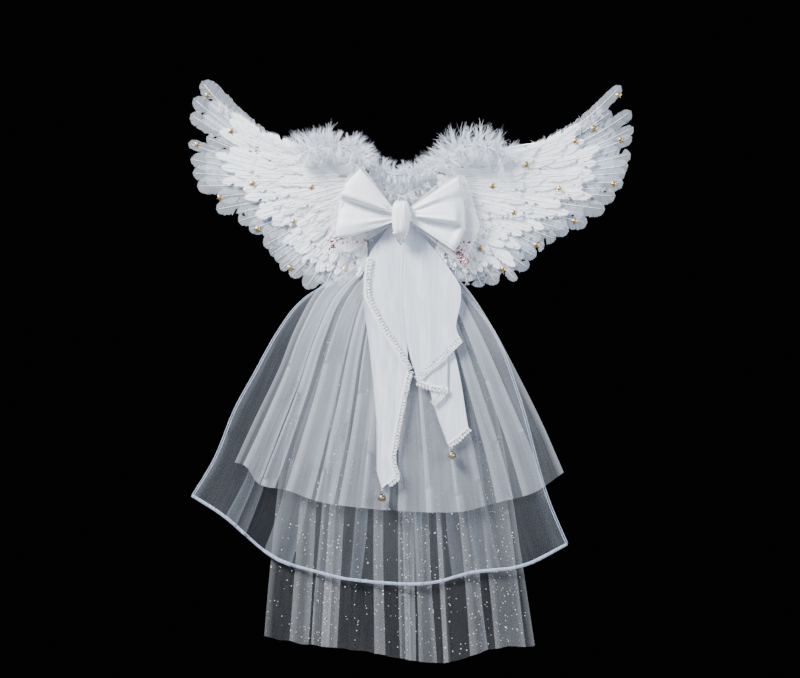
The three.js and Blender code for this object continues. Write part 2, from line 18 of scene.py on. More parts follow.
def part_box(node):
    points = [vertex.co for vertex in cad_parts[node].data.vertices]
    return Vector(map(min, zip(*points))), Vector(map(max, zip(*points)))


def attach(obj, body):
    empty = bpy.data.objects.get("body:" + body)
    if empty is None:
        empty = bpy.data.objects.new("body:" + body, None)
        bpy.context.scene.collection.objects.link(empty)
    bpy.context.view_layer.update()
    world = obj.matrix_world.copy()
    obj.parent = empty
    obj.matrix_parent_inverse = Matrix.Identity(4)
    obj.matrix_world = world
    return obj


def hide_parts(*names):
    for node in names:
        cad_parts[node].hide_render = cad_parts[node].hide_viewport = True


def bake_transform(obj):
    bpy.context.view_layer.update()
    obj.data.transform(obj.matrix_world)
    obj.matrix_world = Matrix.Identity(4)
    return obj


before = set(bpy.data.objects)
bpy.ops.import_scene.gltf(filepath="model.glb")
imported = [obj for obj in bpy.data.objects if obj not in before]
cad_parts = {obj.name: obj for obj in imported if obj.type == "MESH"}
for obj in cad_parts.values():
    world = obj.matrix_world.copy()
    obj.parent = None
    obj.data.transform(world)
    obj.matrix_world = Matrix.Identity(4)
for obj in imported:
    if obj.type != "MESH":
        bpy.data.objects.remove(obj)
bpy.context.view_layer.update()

log = logging.getLogger("fairy_wings")

Source = bpy.types.NodeSocket | float | tuple | None

MM = 0.001
TINY = 1e-9
FORWARD = np.array([0.0, -1.0, 0.0])


class Side(Enum):
    """The two sides, as seen from the show side."""

    LEFT = -1
    RIGHT = 1

    @property
    def word(self) -> str:
        """The side's name as the nodes and bodies use it."""
        return self.name.lower()


# Lines and small shape helpers


def ease(value: np.ndarray | float) -> np.ndarray | float:
    """A smooth step from 0 to 1."""
    held = np.clip(value, 0.0, 1.0)
    return held * held * (3.0 - 2.0 * held)


def lerp(
    first: np.ndarray | float, second: np.ndarray | float, share: np.ndarray | float
) -> np.ndarray | float:
    """The value a share of the way from first to second."""
    return first + (second - first) * share


def along_line(points: list | np.ndarray, count: int, smooth: bool = True) -> np.ndarray:
    """Spaces points evenly by length along a line.

    Args:
        points: the line's corner points, each of two or three numbers.
        count: how many points to return.
        smooth: whether the line curves through its corners or runs straight between them.

    Returns:
        The points, one a row.
    """
    corners = np.asarray(points, float)
    if smooth and len(corners) > 2:
        padded = np.vstack([2 * corners[0] - corners[1], corners, 2 * corners[-1] - corners[-2]])
        step = np.linspace(0, 1, 12, endpoint=False)[:, None]
        spans = []
        for before, start, end, after in zip(padded, padded[1:], padded[2:], padded[3:]):
            spans.append(0.5 * (
                2 * start + (end - before) * step
                + (2 * before - 5 * start + 4 * end - after) * step**2
                + (3 * start - before - 3 * end + after) * step**3
            ))
        corners = np.vstack([*spans, corners[-1]])
    travelled = np.r_[0, np.cumsum(np.linalg.norm(np.diff(corners, axis=0), axis=1))]
    wanted = np.linspace(0, travelled[-1], count)
    return np.column_stack([np.interp(wanted, travelled, column) for column in corners.T])


def ripple(position: np.ndarray, seed: int, waves: int = 4) -> np.ndarray:
    """A gentle repeatable waviness between about -1 and 1.

    Args:
        position: where to read it, in waves' own units.
        seed: which of the possible wavinesses to give.
        waves: how many sines are summed.

    Returns:
        The height at each position.
    """
    random = np.random.default_rng(seed)
    total = np.zeros_like(position, dtype=float)
    for _ in range(waves):
        total += np.sin(position * random.uniform(0.6, 2.4) + random.uniform(0, 2 * math.pi))
    return total / waves


def unit(vectors: np.ndarray, guard: float = 0.0) -> np.ndarray:
    """The vectors scaled to a length of one. A small guard keeps a zero vector finite."""
    return vectors / (np.linalg.norm(vectors, axis=-1, keepdims=True) + guard)


# Meshes


@dataclass
class Surface:
    """Points, faces and per-point values gathered for one piece's mesh."""

    points: list = field(default_factory=list)
    faces: list = field(default_factory=list)
    values: list = field(default_factory=list)
    count: int = 0

    NAMES = ("along", "across", "tone", "mark")

    def add(self, points: np.ndarray, faces: list, **values: np.ndarray | float) -> None:
        """Adds loose geometry.

        Args:
            points: an array of points in millimetres.
            faces: arrays of point indices, each array holding faces of one size.
            values: a number or an array for any of the names along, across, tone and mark.
        """
        flat = np.asarray(points, float).reshape(-1, 3)
        self.points.append(flat)
        self.faces.extend(np.asarray(f, int) + self.count for f in faces if len(f))
        row = np.zeros((len(flat), len(self.NAMES)))
        for place, name in enumerate(self.NAMES):
            row[:, place] = np.broadcast_to(np.asarray(values.get(name, 0.0)), points.shape[:-1]).ravel()
        self.values.append(row)
        self.count += len(flat)

    def add_grid(
        self, grid: np.ndarray, ring: bool = False, keep: np.ndarray | None = None,
        **values: np.ndarray | float,
    ) -> None:
        """Adds a grid of points as a sheet of quads.

        Args:
            grid: points as rows by columns by three.
            ring: whether the last column joins the first.
            keep: which quads to make, as rows by columns, or all of them.
            values: per-point values, as for add.
        """
        index = np.arange(grid.shape[0] * grid.shape[1]).reshape(grid.shape[:2])
        if ring:
            index = np.hstack([index, index[:, :1]])
        quads = np.stack([index[:-1, :-1], index[:-1, 1:], index[1:, 1:], index[1:, :-1]], axis=-1)
        if keep is not None:
            quads = quads[keep]
        self.add(grid, [quads.reshape(-1, 4)], **values)

    def add_tube(
        self, path: np.ndarray, radius: np.ndarray | float, sides: int = 8,
        flat: float = 1.0, reference: tuple = (0, 1, 0), **values: float,
    ) -> None:
        """Adds a closed tube along a path.

        Args:
            path: the middle line's points.
            radius: the radius, one number or one for each point.
            sides: how many sides the tube has.
            flat: the radius along the reference direction, as a share of the other.
            reference: a direction that the path never points in.
            values: one number for any of the per-point values.
        """
        ahead = unit(np.gradient(path, axis=0), TINY)
        side = unit(np.cross(ahead, np.asarray(reference, float)), TINY)
        up = np.cross(side, ahead)
        turn = np.linspace(0, 2 * math.pi, sides, endpoint=False)
        size = np.broadcast_to(np.asarray(radius, float), len(path))[:, None, None]
        ring = side[:, None, :] * np.cos(turn)[None, :, None]
        ring = ring + flat * up[:, None, :] * np.sin(turn)[None, :, None]
        grid = path[:, None, :] + size * ring
        start = self.count
        self.add_grid(grid, ring=True, **values)
        self.cap(start, sides, flipped=True)
        self.cap(start + (len(path) - 1) * sides, sides)

    def cap(self, first: int, count: int, flipped: bool = False) -> None:
        """Closes a ring of points, numbered on from its first, with one face."""
        ring = np.arange(first, first + count)
        self.faces.append((ring[::-1] if flipped else ring)[None, :])

    def add_strips(
        self, spines: np.ndarray, widths: np.ndarray, sideways: np.ndarray, **values: np.ndarray
    ) -> None:
        """Adds many thin tapering strips at once, such as the strands of down.

        Args:
            spines: middle lines, as strips by stations by three.
            widths: half widths, as strips by stations.
            sideways: each strip's unit direction across itself, as strips by three.
            values: per-strip values, one number for each strip.
        """
        offset = sideways[:, None, :] * widths[:, :, None]
        grid = np.stack([spines - offset, spines + offset], axis=2)
        strips, stations = spines.shape[:2]
        index = np.arange(strips * stations * 2).reshape(strips, stations, 2)
        quads = np.stack(
            [index[:, :-1, 0], index[:, :-1, 1], index[:, 1:, 1], index[:, 1:, 0]], axis=-1
        ).reshape(-1, 4)
        spread = {name: np.broadcast_to(np.asarray(v)[:, None, None], grid.shape[:3])
                  for name, v in values.items()}
        spread["along"] = np.broadcast_to(np.linspace(0, 1, stations)[None, :, None], grid.shape[:3])
        self.add(grid, [quads], **spread)

    def build(self, name: str, *finishes: "Finish") -> bpy.types.Object:
        """Makes the object, in metres, with its per-point values and finishes.

        Args:
            name: the piece's name.
            finishes: the finishes for its material slots; the first is used throughout.

        Returns:
            The new object, linked to the scene.
        """
        points = np.concatenate(self.points) * MM
        values = np.concatenate(self.values)
        sizes = np.concatenate([np.full(len(f), f.shape[1]) for f in self.faces])
        corners = np.concatenate([f.ravel() for f in self.faces])
        mesh = bpy.data.meshes.new(name)
        mesh.vertices.add(len(points))
        mesh.vertices.foreach_set("co", points.astype(np.float32).ravel())
        mesh.loops.add(len(corners))
        mesh.loops.foreach_set("vertex_index", corners.astype(np.int32))
        mesh.polygons.add(len(sizes))
        mesh.polygons.foreach_set("loop_start", np.r_[0, np.cumsum(sizes)[:-1]].astype(np.int32))
        mesh.update(calc_edges=True)
        mesh.validate()
        mesh.polygons.foreach_set("use_smooth", np.ones(len(mesh.polygons), bool))
        for place, value_name in enumerate(self.NAMES):
            attribute = mesh.attributes.new(value_name, "FLOAT", "POINT")
            attribute.data.foreach_set("value", values[:, place].astype(np.float32))
        piece = bpy.data.objects.new(name, mesh)
        bpy.context.scene.collection.objects.link(piece)
        for finish in finishes:
            mesh.materials.append(finish.material())
        return piece


@dataclass(frozen=True)
class Bend:
    """Where a piece bends from the body that it is sewn to into the body that it rides on."""

    held: str
    start: tuple
    end: tuple


def place_piece(
    surface: Surface, name: str, finish: "Finish", body: str, replaces: tuple = (),
    bend: Bend | None = None,
) -> bpy.types.Object:
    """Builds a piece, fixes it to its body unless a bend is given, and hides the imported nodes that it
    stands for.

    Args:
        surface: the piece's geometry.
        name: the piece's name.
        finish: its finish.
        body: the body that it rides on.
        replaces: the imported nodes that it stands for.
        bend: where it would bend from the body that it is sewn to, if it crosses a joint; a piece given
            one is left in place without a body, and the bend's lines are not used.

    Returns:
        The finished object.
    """
    piece = surface.build(name, finish)
    if bend is None:
        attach(piece, body)
    else:
        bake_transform(piece)
    if replaces:
        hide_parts(*replaces)
    log.info("%s: %d faces on %s", name, len(piece.data.polygons), body)
    return piece


def fold_sheet(lines: np.ndarray, columns: int, turn: float) -> tuple[np.ndarray, np.ndarray]:
    """Hangs a sheet from line to line, turning back on itself where the lines do.

    Args:
        lines: the fold lines, as lines by rows by three.
        columns: how many columns lie between one fold line and the next.
        turn: how softly the cloth turns at a fold, from 0, pressed, to 1, rolled.

    Returns:
        The grid as rows by columns by three, and each point's closeness to a fold, from 0 to 1.
    """
    grids, creases = [], []
    for number, (first, second) in enumerate(zip(lines[:-1], lines[1:])):
        last = number == len(lines) - 2
        share = np.linspace(0, 1, columns + 1)[: None if last else -1]
        rolled = lerp(share, 0.5 - 0.5 * np.cos(math.pi * share), turn)
        grid = lerp(first[:, None, :], second[:, None, :], rolled[None, :, None])
        grid[..., 1] = lerp(first[:, None, 1], second[:, None, 1], share[None, :])
        width = np.linalg.norm(second - first, axis=1)[:, None]
        away = np.minimum(rolled, 1 - rolled)[None, :] * width
        grids.append(grid)
        creases.append(np.exp(-away / 1.3))
    return np.concatenate(grids, axis=1), np.concatenate(creases, axis=1)


# Shader node groups


class Nodes:
    """Adds and joins shader nodes in one node tree."""

    def __init__(self, tree: bpy.types.NodeTree) -> None:
        """Keeps the tree that the nodes go into."""
        self.tree = tree
        self.column = 0

    def add(self, kind: str, **settings: object) -> bpy.types.Node:
        """Adds a node of a kind and sets its own properties.

        Args:
            kind: the node's type.
            settings: its properties, by name.

        Returns:
            The new node.
        """
        node = self.tree.nodes.new(kind)
        self.column += 1
        node.location = (-1600 + 170 * (self.column % 9), 500 - 240 * (self.column // 9))
        for name, value in settings.items():
            setattr(node, name, value)
        return node

    def feed(self, socket: bpy.types.NodeSocket, source: Source) -> None:
        """Links a socket to another socket, or gives it a plain value.

        Args:
            socket: the input to feed.
            source: a socket, a value, or None to leave it.
        """
        if isinstance(source, bpy.types.NodeSocket):
            self.tree.links.new(source, socket)
        elif source is not None:
            socket.default_value = source

    def math(self, operation: str, first: Source, second: Source = None, third: Source = None,
             clamp: bool = False) -> bpy.types.NodeSocket:
        """A math node's result for its values or sockets.

        Args:
            operation: the operation's name.
            first: its first value.
            second: its second value.
            third: its third value.
            clamp: whether the result stays between 0 and 1.

        Returns:
            The result.
        """
        node = self.add("ShaderNodeMath", operation=operation, use_clamp=clamp)
        for socket, source in zip(node.inputs, (first, second, third)):
            self.feed(socket, source)
        return node.outputs[0]

    def span(self, value: Source, low: float, high: float, to_low: float = 0.0,
             to_high: float = 1.0) -> bpy.types.NodeSocket:
        """Maps a range of a value smoothly onto another range.

        Args:
            value: what to map.
            low: the range's start.
            high: its end.
            to_low: what the start becomes.
            to_high: what the end becomes.

        Returns:
            The mapped value.
        """
        node = self.add("ShaderNodeMapRange", interpolation_type="SMOOTHSTEP")
        for name, source in zip(
            ("Value", "From Min", "From Max", "To Min", "To Max"), (value, low, high, to_low, to_high)
        ):
            self.feed(node.inputs[name], source)
        return node.outputs[0]

    def blend(self, share: Source, first: Source, second: Source) -> bpy.types.NodeSocket:
        """A colour the share of the way from first to second.

        Args:
            share: how much of the second.
            first: the first colour.
            second: the second colour.

        Returns:
            The colour.
        """
        node = self.add("ShaderNodeMix", data_type="RGBA")
        for number, source in ((0, share), (6, first), (7, second)):
            self.feed(node.inputs[number], source)
        return node.outputs[2]

    def noise(self, scale: float, detail: float = 3.0, vector: Source = None,
              stretch: tuple | None = None) -> bpy.types.NodeSocket:
        """A noise value, on stretched coordinates if asked.

        Args:
            scale: the noise's scale.
            detail: how many finer layers it has.
            vector: the coordinates, or None for the object's own.
            stretch: how far to scale them on each axis.

        Returns:
            The noise's value.
        """
        if vector is None:
            vector = self.add("ShaderNodeTexCoord").outputs["Object"]
        if stretch is not None:
            mapping = self.add("ShaderNodeMapping")
            self.feed(mapping.inputs["Vector"], vector)
            mapping.inputs["Scale"].default_value = stretch
            vector = mapping.outputs[0]
        node = self.add("ShaderNodeTexNoise")
        self.feed(node.inputs["Vector"], vector)
        node.inputs["Scale"].default_value = scale
        node.inputs["Detail"].default_value = detail
        return node.outputs["Fac"]

    def value(self, name: str) -> bpy.types.NodeSocket:
        """A per-point value of the mesh."""
        return self.add("ShaderNodeAttribute", attribute_name=name).outputs["Fac"]

    def vector(self, x: Source, y: Source, z: Source) -> bpy.types.NodeSocket:
        """A vector joined from three values or sockets.

        Args:
            x: the first part.
            y: the second part.
            z: the third part.

        Returns:
            The vector.
        """
        node = self.add("ShaderNodeCombineXYZ")
        for socket, source in zip(node.inputs, (x, y, z)):
            self.feed(socket, source)
        return node.outputs[0]


class Effect:
    """A shared effect: a shader node group made once and used with each finish's own values."""

    name = ""
    inputs: tuple = ()
    outputs: tuple = ()

    @classmethod
    def group(cls) -> bpy.types.NodeTree:
        """The effect's node group, made the first time that it is asked for.

        Returns:
            The node group.
        """
        found = bpy.data.node_groups.get(cls.name)
        if found:
            return found
        tree = bpy.data.node_groups.new(cls.name, "ShaderNodeTree")
        for label, start in cls.inputs:
            socket = tree.interface.new_socket(label, in_out="INPUT", socket_type="NodeSocketFloat")
            socket.default_value = start
        for label, kind in cls.outputs:
            tree.interface.new_socket(label, in_out="OUTPUT", socket_type=kind)
        nodes = Nodes(tree)
        entry, leave = nodes.add("NodeGroupInput"), nodes.add("NodeGroupOutput")
        for label, source in cls.draw(nodes, entry.outputs).items():
            nodes.feed(leave.inputs[label], source)
        return tree

    @classmethod
    def draw(cls, nodes: Nodes, given: bpy.types.bpy_prop_collection) -> dict:
        """Adds the effect's nodes and returns a source for each output."""
        raise NotImplementedError

    @classmethod
    def use(cls, nodes: Nodes, **values: Source) -> bpy.types.bpy_prop_collection:
        """Places the effect in a material.

        Args:
            nodes: the material's nodes.
            values: a number or socket for each input, by its name.

        Returns:
            The effect's outputs.
        """
        node = nodes.add("ShaderNodeGroup", node_tree=cls.group())
        for label, source in values.items():
            nodes.feed(node.inputs[label], source)
        return node.outputs


class Barbs(Effect):
    """A feather vane's barbs: fine lines, soft translucent gaps, ragged ends, and colour streaks along
    the barbs that are partly random tone and partly painted shade between them.
    """

    name = "feather_barbs"
    inputs = (("Opacity", 0.8), ("Ragged", 0.5), ("Pitch", 1.0))
    outputs = (("Shade", "NodeSocketFloat"), ("Alpha", "NodeSocketFloat"), ("Height", "NodeSocketFloat"))

    @classmethod
    def draw(cls, nodes: Nodes, given: bpy.types.bpy_prop_collection) -> dict:
        """Adds the barbs' nodes and returns their outputs.

        Args:
            nodes: the group's nodes.
            given: the group's inputs.

        Returns:
            A source for each output, by its name.
        """
        along, across, tone = (nodes.value(n) for n in ("along", "across", "tone"))
        shaft = nodes.value("mark")
        wide = nodes.math("ABSOLUTE", across)
        line = nodes.math("MULTIPLY_ADD", wide, -5.0, nodes.math("MULTIPLY", along, given["Pitch"]))
        place = nodes.vector(line, nodes.math("MULTIPLY", across, 0.5),
                             nodes.math("MULTIPLY", tone, 60.0))
        fine = nodes.noise(1.3, 3.0, place)
        broad = nodes.noise(0.3, 2.0, place)
        lines = nodes.math("SINE", nodes.math("MULTIPLY", line, 4.2))
        height = nodes.math("ADD", nodes.math("MULTIPLY_ADD", lines, 0.16, fine),
                            nodes.math("MULTIPLY", broad, 1.4))
        edge = nodes.math("MULTIPLY_ADD", nodes.span(wide, 0.42, 1.04), given["Ragged"], 0.1)
        streaks = nodes.math("MULTIPLY_ADD", broad, 0.6, nodes.math("MULTIPLY", fine, 0.5))
        gaps = nodes.span(nodes.math("SUBTRACT", streaks, edge), -0.02, 0.24)
        body = nodes.math("MULTIPLY", given["Opacity"], nodes.math("MULTIPLY_ADD", fine, 0.5, 0.75))
        vane = nodes.math("MULTIPLY", nodes.math("MINIMUM", body, 1.0),
                          nodes.math("MULTIPLY_ADD", gaps, 0.88, 0.12), clamp=True)
        return {
            # Painted shade: these streaks run along the barbs and darken the vane between them, partly
            # random tone and partly standing for the shade of the barbs' relief.
            "Shade": nodes.math("MULTIPLY_ADD", broad, 0.7, nodes.math("MULTIPLY", fine, 0.4)),
            "Alpha": nodes.math("MAXIMUM", vane, shaft),
            "Height": height,
        }


class Weave(Effect):
    """Woven threads: a fine ribbed height and a slight shade from thread to thread."""

    name = "woven_threads"
    inputs = (("Warp", 2600.0), ("Weft", 1900.0))
    outputs = (("Shade", "NodeSocketFloat"), ("Height", "NodeSocketFloat"))

    @classmethod
    def draw(cls, nodes: Nodes, given: bpy.types.bpy_prop_collection) -> dict:
        """Adds the threads' nodes and returns their outputs.

        Args:
            nodes: the group's nodes.
            given: the group's inputs.

        Returns:
            A source for each output, by its name.
        """
        parts = nodes.add("ShaderNodeSeparateXYZ")
        nodes.feed(parts.inputs[0], nodes.add("ShaderNodeTexCoord").outputs["Object"])
        sideways = nodes.math("ADD", parts.outputs[0], nodes.math("MULTIPLY", parts.outputs[1], 0.7))
        warp = nodes.math("SINE", nodes.math("MULTIPLY", sideways, given["Warp"]))
        weft = nodes.math("SINE", nodes.math("MULTIPLY", parts.outputs[2], given["Weft"]))
        height = nodes.math("MAXIMUM", warp, weft)
        slub = nodes.noise(60.0, 4.0, stretch=(6.0, 6.0, 0.5))
        return {"Shade": nodes.math("MULTIPLY_ADD", height, 0.06, slub), "Height": height}


class Net(Effect):
    """Sheer net: an opacity that thickens at folds and edges and varies along the threads."""

    name = "sheer_net"
    inputs = (("Opacity", 0.2), ("Crease", 0.25), ("Mesh", 900.0))
    outputs = (("Shade", "NodeSocketFloat"), ("Alpha", "NodeSocketFloat"), ("Height", "NodeSocketFloat"))

    @classmethod
    def draw(cls, nodes: Nodes, given: bpy.types.bpy_prop_collection) -> dict:
        """Adds the net's nodes and returns their outputs.

        Args:
            nodes: the group's nodes.
            given: the group's inputs.

        Returns:
            A source for each output, by its name.
        """
        crease, across, along = nodes.value("mark"), nodes.value("across"), nodes.value("along")
        cells = nodes.add("ShaderNodeTexVoronoi", feature="DISTANCE_TO_EDGE")
        nodes.feed(cells.inputs["Vector"], nodes.add("ShaderNodeTexCoord").outputs["Object"])
        nodes.feed(cells.inputs["Scale"], given["Mesh"])
        threads = nodes.span(cells.outputs["Distance"], 0.02, 0.16, 1.0, 0.0)
        streak = nodes.noise(1.0, 4.0, nodes.vector(nodes.math("MULTIPLY", across, 0.45),
                                                    nodes.math("MULTIPLY", along, 0.012), 0.0))
        cloud = nodes.noise(14.0, 2.0)
        vary = nodes.math("MULTIPLY_ADD", streak, 0.9, nodes.math("MULTIPLY", cloud, 0.5))
        dense = nodes.math("MULTIPLY", given["Opacity"], nodes.math("ADD", nodes.value("tone"), 1.0))
        body = nodes.math("MULTIPLY", dense, nodes.math("ADD", vary, 0.3))
        knit = nodes.math("MULTIPLY", body, nodes.math("MULTIPLY_ADD", threads, 0.3, 0.85))
        alpha = nodes.math("MULTIPLY_ADD", crease, given["Crease"], knit, clamp=True)
        return {"Shade": vary, "Alpha": alpha, "Height": threads}


class Nap(Effect):
    """Fibres lying every way: felt, down and elastic's soft surface."""

    name = "fibre_nap"
    inputs = (("Scale", 900.0), ("Contrast", 0.5))
    outputs = (("Shade", "NodeSocketFloat"), ("Height", "NodeSocketFloat"))

    @classmethod
    def draw(cls, nodes: Nodes, given: bpy.types.bpy_prop_collection) -> dict:
        """Adds the fibres' nodes and returns their outputs.

        Args:
            nodes: the group's nodes.
            given: the group's inputs.

        Returns:
            A source for each output, by its name.
        """
        fine = nodes.add("ShaderNodeTexNoise")
        nodes.feed(fine.inputs["Vector"], nodes.add("ShaderNodeTexCoord").outputs["Object"])
        nodes.feed(fine.inputs["Scale"], given["Scale"])
        fine.inputs["Detail"].default_value = 5.0
        fine.inputs["Distortion"].default_value = 1.4
        broad = nodes.noise(45.0, 3.0)
        mixed = nodes.math("MULTIPLY_ADD", fine.outputs["Fac"], given["Contrast"],
                           nodes.math("MULTIPLY", broad, 0.4))
        return {"Shade": mixed, "Height": fine.outputs["Fac"]}


class Wear(Effect):
    """Handling marks on metal and plastic: fine scuffs, dull patches and worn edges."""

    name = "handling_wear"
    inputs = (("Rough", 0.25), ("Scuff", 0.2))
    outputs = (("Shade", "NodeSocketFloat"), ("Roughness", "NodeSocketFloat"),
               ("Height", "NodeSocketFloat"))

    @classmethod
    def draw(cls, nodes: Nodes, given: bpy.types.bpy_prop_collection) -> dict:
        """Adds the marks' nodes and returns their outputs.

        Args:
            nodes: the group's nodes.
            given: the group's inputs.

        Returns:
            A source for each output, by its name.
        """
        scuffs = nodes.noise(420.0, 6.0, stretch=(1.0, 1.0, 6.0))
        patches = nodes.noise(110.0, 3.0)
        edges = nodes.span(nodes.add("ShaderNodeNewGeometry").outputs["Pointiness"], 0.5, 0.62)
        marks = nodes.math("MULTIPLY", scuffs, patches)
        rough = nodes.math("MULTIPLY_ADD", marks, given["Scuff"], given["Rough"], clamp=True)
        shade = nodes.math("MULTIPLY_ADD", edges, 0.4, marks, clamp=True)
        return {"Shade": shade, "Roughness": rough, "Height": scuffs}


# Finishes


@dataclass(frozen=True)
class Finish:
    """A surface finish. Each kind below draws its own nodes."""

    name: str
    slot: str
    dark: tuple = (0.7, 0.7, 0.7)
    light: tuple = (0.9, 0.9, 0.9)
    roughness: float = 0.6
    bump: float = 0.2

    def material(self) -> bpy.types.Material:
        """The finish's material, made the first time that it is asked for.

        Returns:
            The material.
        """
        found = bpy.data.materials.get(self.name)
        if found:
            return found
        made = bpy.data.materials.new(self.name)
        made.use_nodes = True
        nodes = Nodes(made.node_tree)
        shader = made.node_tree.nodes["Principled BSDF"]
        shader.inputs["Roughness"].default_value = self.roughness
        self.draw(nodes, shader)
        return made

    def draw(self, nodes: Nodes, shader: bpy.types.Node) -> None:
        """Adds the finish's nodes around its shader."""
        raise NotImplementedError

    def tint(self, nodes: Nodes, shader: bpy.types.Node, shade: Source) -> None:
        """Colours the shader between the finish's dark and light by a shade."""
        colour = nodes.blend(nodes.span(shade, 0.2, 0.8), (*self.dark, 1.0), (*self.light, 1.0))
        nodes.feed(shader.inputs["Base Color"], colour)

    def emboss(self, nodes: Nodes, shader: bpy.types.Node, height: Source,
               distance: float = 0.0002) -> None:
        """Raises the surface by a height.

        Args:
            nodes: the material's nodes.
            shader: its Principled shader.
            height: the height to raise it by.
            distance: how far full height is, in metres.
        """
        bump = nodes.add("ShaderNodeBump")
        bump.inputs["Strength"].default_value = self.bump
        bump.inputs["Distance"].default_value = distance
        nodes.feed(bump.inputs["Height"], height)
        nodes.feed(shader.inputs["Normal"], bump.outputs[0])


@dataclass(frozen=True)
class FeatherFinish(Finish):
    """Feather vanes and shafts."""

    opacity: float = 0.8
    ragged: float = 0.4
    pitch: float = 1.0

    def draw(self, nodes: Nodes, shader: bpy.types.Node) -> None:
        """Adds barbs with their colour streaks of random tone and painted shade, a paler shaft and tone
        from feather to feather.

        Args:
            nodes: the material's nodes.
            shader: its Principled shader.
        """
        barbs = Barbs.use(nodes, Opacity=self.opacity, Ragged=self.ragged, Pitch=self.pitch)
        tone = nodes.math("MULTIPLY_ADD", nodes.value("tone"), 0.35, barbs["Shade"])
        vane = nodes.blend(nodes.span(tone, 0.35, 0.95), (*self.dark, 1.0), (*self.light, 1.0))
        colour = nodes.blend(nodes.value("mark"), vane, (0.97, 0.97, 0.96, 1.0))
        nodes.feed(shader.inputs["Base Color"], colour)
        nodes.feed(shader.inputs["Alpha"], barbs["Alpha"])
        shader.inputs["Sheen Weight"].default_value = 0.25
        shader.inputs["Sheen Roughness"].default_value = 0.5
        self.emboss(nodes, shader, barbs["Height"], 0.0009)


@dataclass(frozen=True)
class DownFinish(Finish):
    """Soft down: strands that pale towards their tips."""

    def draw(self, nodes: Nodes, shader: bpy.types.Node) -> None:
        """Adds fibres and a tone from strand to strand.

        Args:
            nodes: the material's nodes.
            shader: its Principled shader.
        """
        nap = Nap.use(nodes, Scale=700.0, Contrast=0.4)
        shade = nodes.math("MULTIPLY_ADD", nodes.value("tone"), 0.5,
                           nodes.math("MULTIPLY", nap["Shade"], 0.5))
        fade = nodes.math("MULTIPLY", nodes.span(nodes.value("along"), 0.35, 1.0), 0.35)
        self.tint(nodes, shader, nodes.math("SUBTRACT", shade, fade))
        shader.inputs["Sheen Weight"].default_value = 0.4
        self.emboss(nodes, shader, nap["Height"])


@dataclass(frozen=True)
class SatinFinish(Finish):
    """Woven satin with a soft sheen."""

    warp: float = 2600.0
    weft: float = 1900.0
    sheen: float = 0.3

    def draw(self, nodes: Nodes, shader: bpy.types.Node) -> None:
        """Adds the weave, broad soft shading and the sheen.

        Args:
            nodes: the material's nodes.
            shader: its Principled shader.
        """
        weave = Weave.use(nodes, Warp=self.warp, Weft=self.weft)
        self.tint(nodes, shader, weave["Shade"])
        rough = nodes.math("MULTIPLY_ADD", weave["Shade"], 0.12, self.roughness)
        nodes.feed(shader.inputs["Roughness"], rough)
        shader.inputs["Sheen Weight"].default_value = self.sheen
        shader.inputs["Sheen Roughness"].default_value = 0.35
        self.emboss(nodes, shader, weave["Height"], 0.00008)


@dataclass(frozen=True)
class SheerFinish(Finish):
    """See-through net, tulle or organza."""

    opacity: float = 0.2
    crease: float = 0.2
    mesh: float = 1300.0

    def draw(self, nodes: Nodes, shader: bpy.types.Node) -> None:
        """Adds the net's threads, its opacity and its brighter folds.

        Args:
            nodes: the material's nodes.
            shader: its Principled shader.
        """
        net = Net.use(nodes, Opacity=self.opacity, Crease=self.crease, Mesh=self.mesh)
        self.tint(nodes, shader, net["Shade"])
        nodes.feed(shader.inputs["Alpha"], net["Alpha"])
        shader.inputs["Sheen Weight"].default_value = 0.2
        self.emboss(nodes, shader, net["Height"])


@dataclass(frozen=True)
class NapFinish(Finish):
    """Felt, elastic, card and other matt fibre surfaces."""

    scale: float = 900.0
    contrast: float = 0.5

    def draw(self, nodes: Nodes, shader: bpy.types.Node) -> None:
        """Adds the fibres.

        Args:
            nodes: the material's nodes.
            shader: its Principled shader.
        """
        nap = Nap.use(nodes, Scale=self.scale, Contrast=self.contrast)
        self.tint(nodes, shader, nap["Shade"])
        self.emboss(nodes, shader, nap["Height"], 0.0003)


@dataclass(frozen=True)
class HardFinish(Finish):
    """Metal or plastic, a little worn."""

    metallic: float = 1.0
    scuff: float = 0.2
    toned: bool = False

    def draw(self, nodes: Nodes, shader: bpy.types.Node) -> None:
        """Adds the wear, and a tone from piece to piece where the finish has one.

        Args:
            nodes: the material's nodes.
            shader: its Principled shader.
        """
        wear = Wear.use(nodes, Rough=self.roughness, Scuff=self.scuff)
        # For the lace beads and the glitter dots this tone also paints light: painted shadow on the
        # darker beads and painted dark reflections on the near-black dots.
        shade = nodes.value("tone") if self.toned else wear["Shade"]
        self.tint(nodes, shader, shade)
        nodes.feed(shader.inputs["Roughness"], wear["Roughness"])
        shader.inputs["Metallic"].default_value = self.metallic
        self.emboss(nodes, shader, wear["Height"], 0.00005)


@dataclass(frozen=True)
class LaceFinish(Finish):
    """Needle lace with open eyelets between its threads."""

    def draw(self, nodes: Nodes, shader: bpy.types.Node) -> None:
        """Adds raised threads and lets the gaps between them show through.

        Args:
            nodes: the material's nodes.
            shader: its Principled shader.
        """
        place = nodes.vector(nodes.value("along"), nodes.value("across"), 0.0)
        cells = nodes.add("ShaderNodeTexVoronoi", feature="DISTANCE_TO_EDGE")
        nodes.feed(cells.inputs["Vector"], place)
        cells.inputs["Scale"].default_value = 0.55
        thread = nodes.span(cells.outputs["Distance"], 0.08, 0.26, 1.0, 0.0)
        solid = nodes.math("MAXIMUM", thread, nodes.value("mark"))
        nap = Nap.use(nodes, Scale=1500.0, Contrast=0.5)
        self.tint(nodes, shader, nap["Shade"])
        nodes.feed(shader.inputs["Alpha"], nodes.math("MULTIPLY_ADD", solid, 0.75, 0.25, clamp=True))
        self.emboss(nodes, shader, solid, 0.0004)
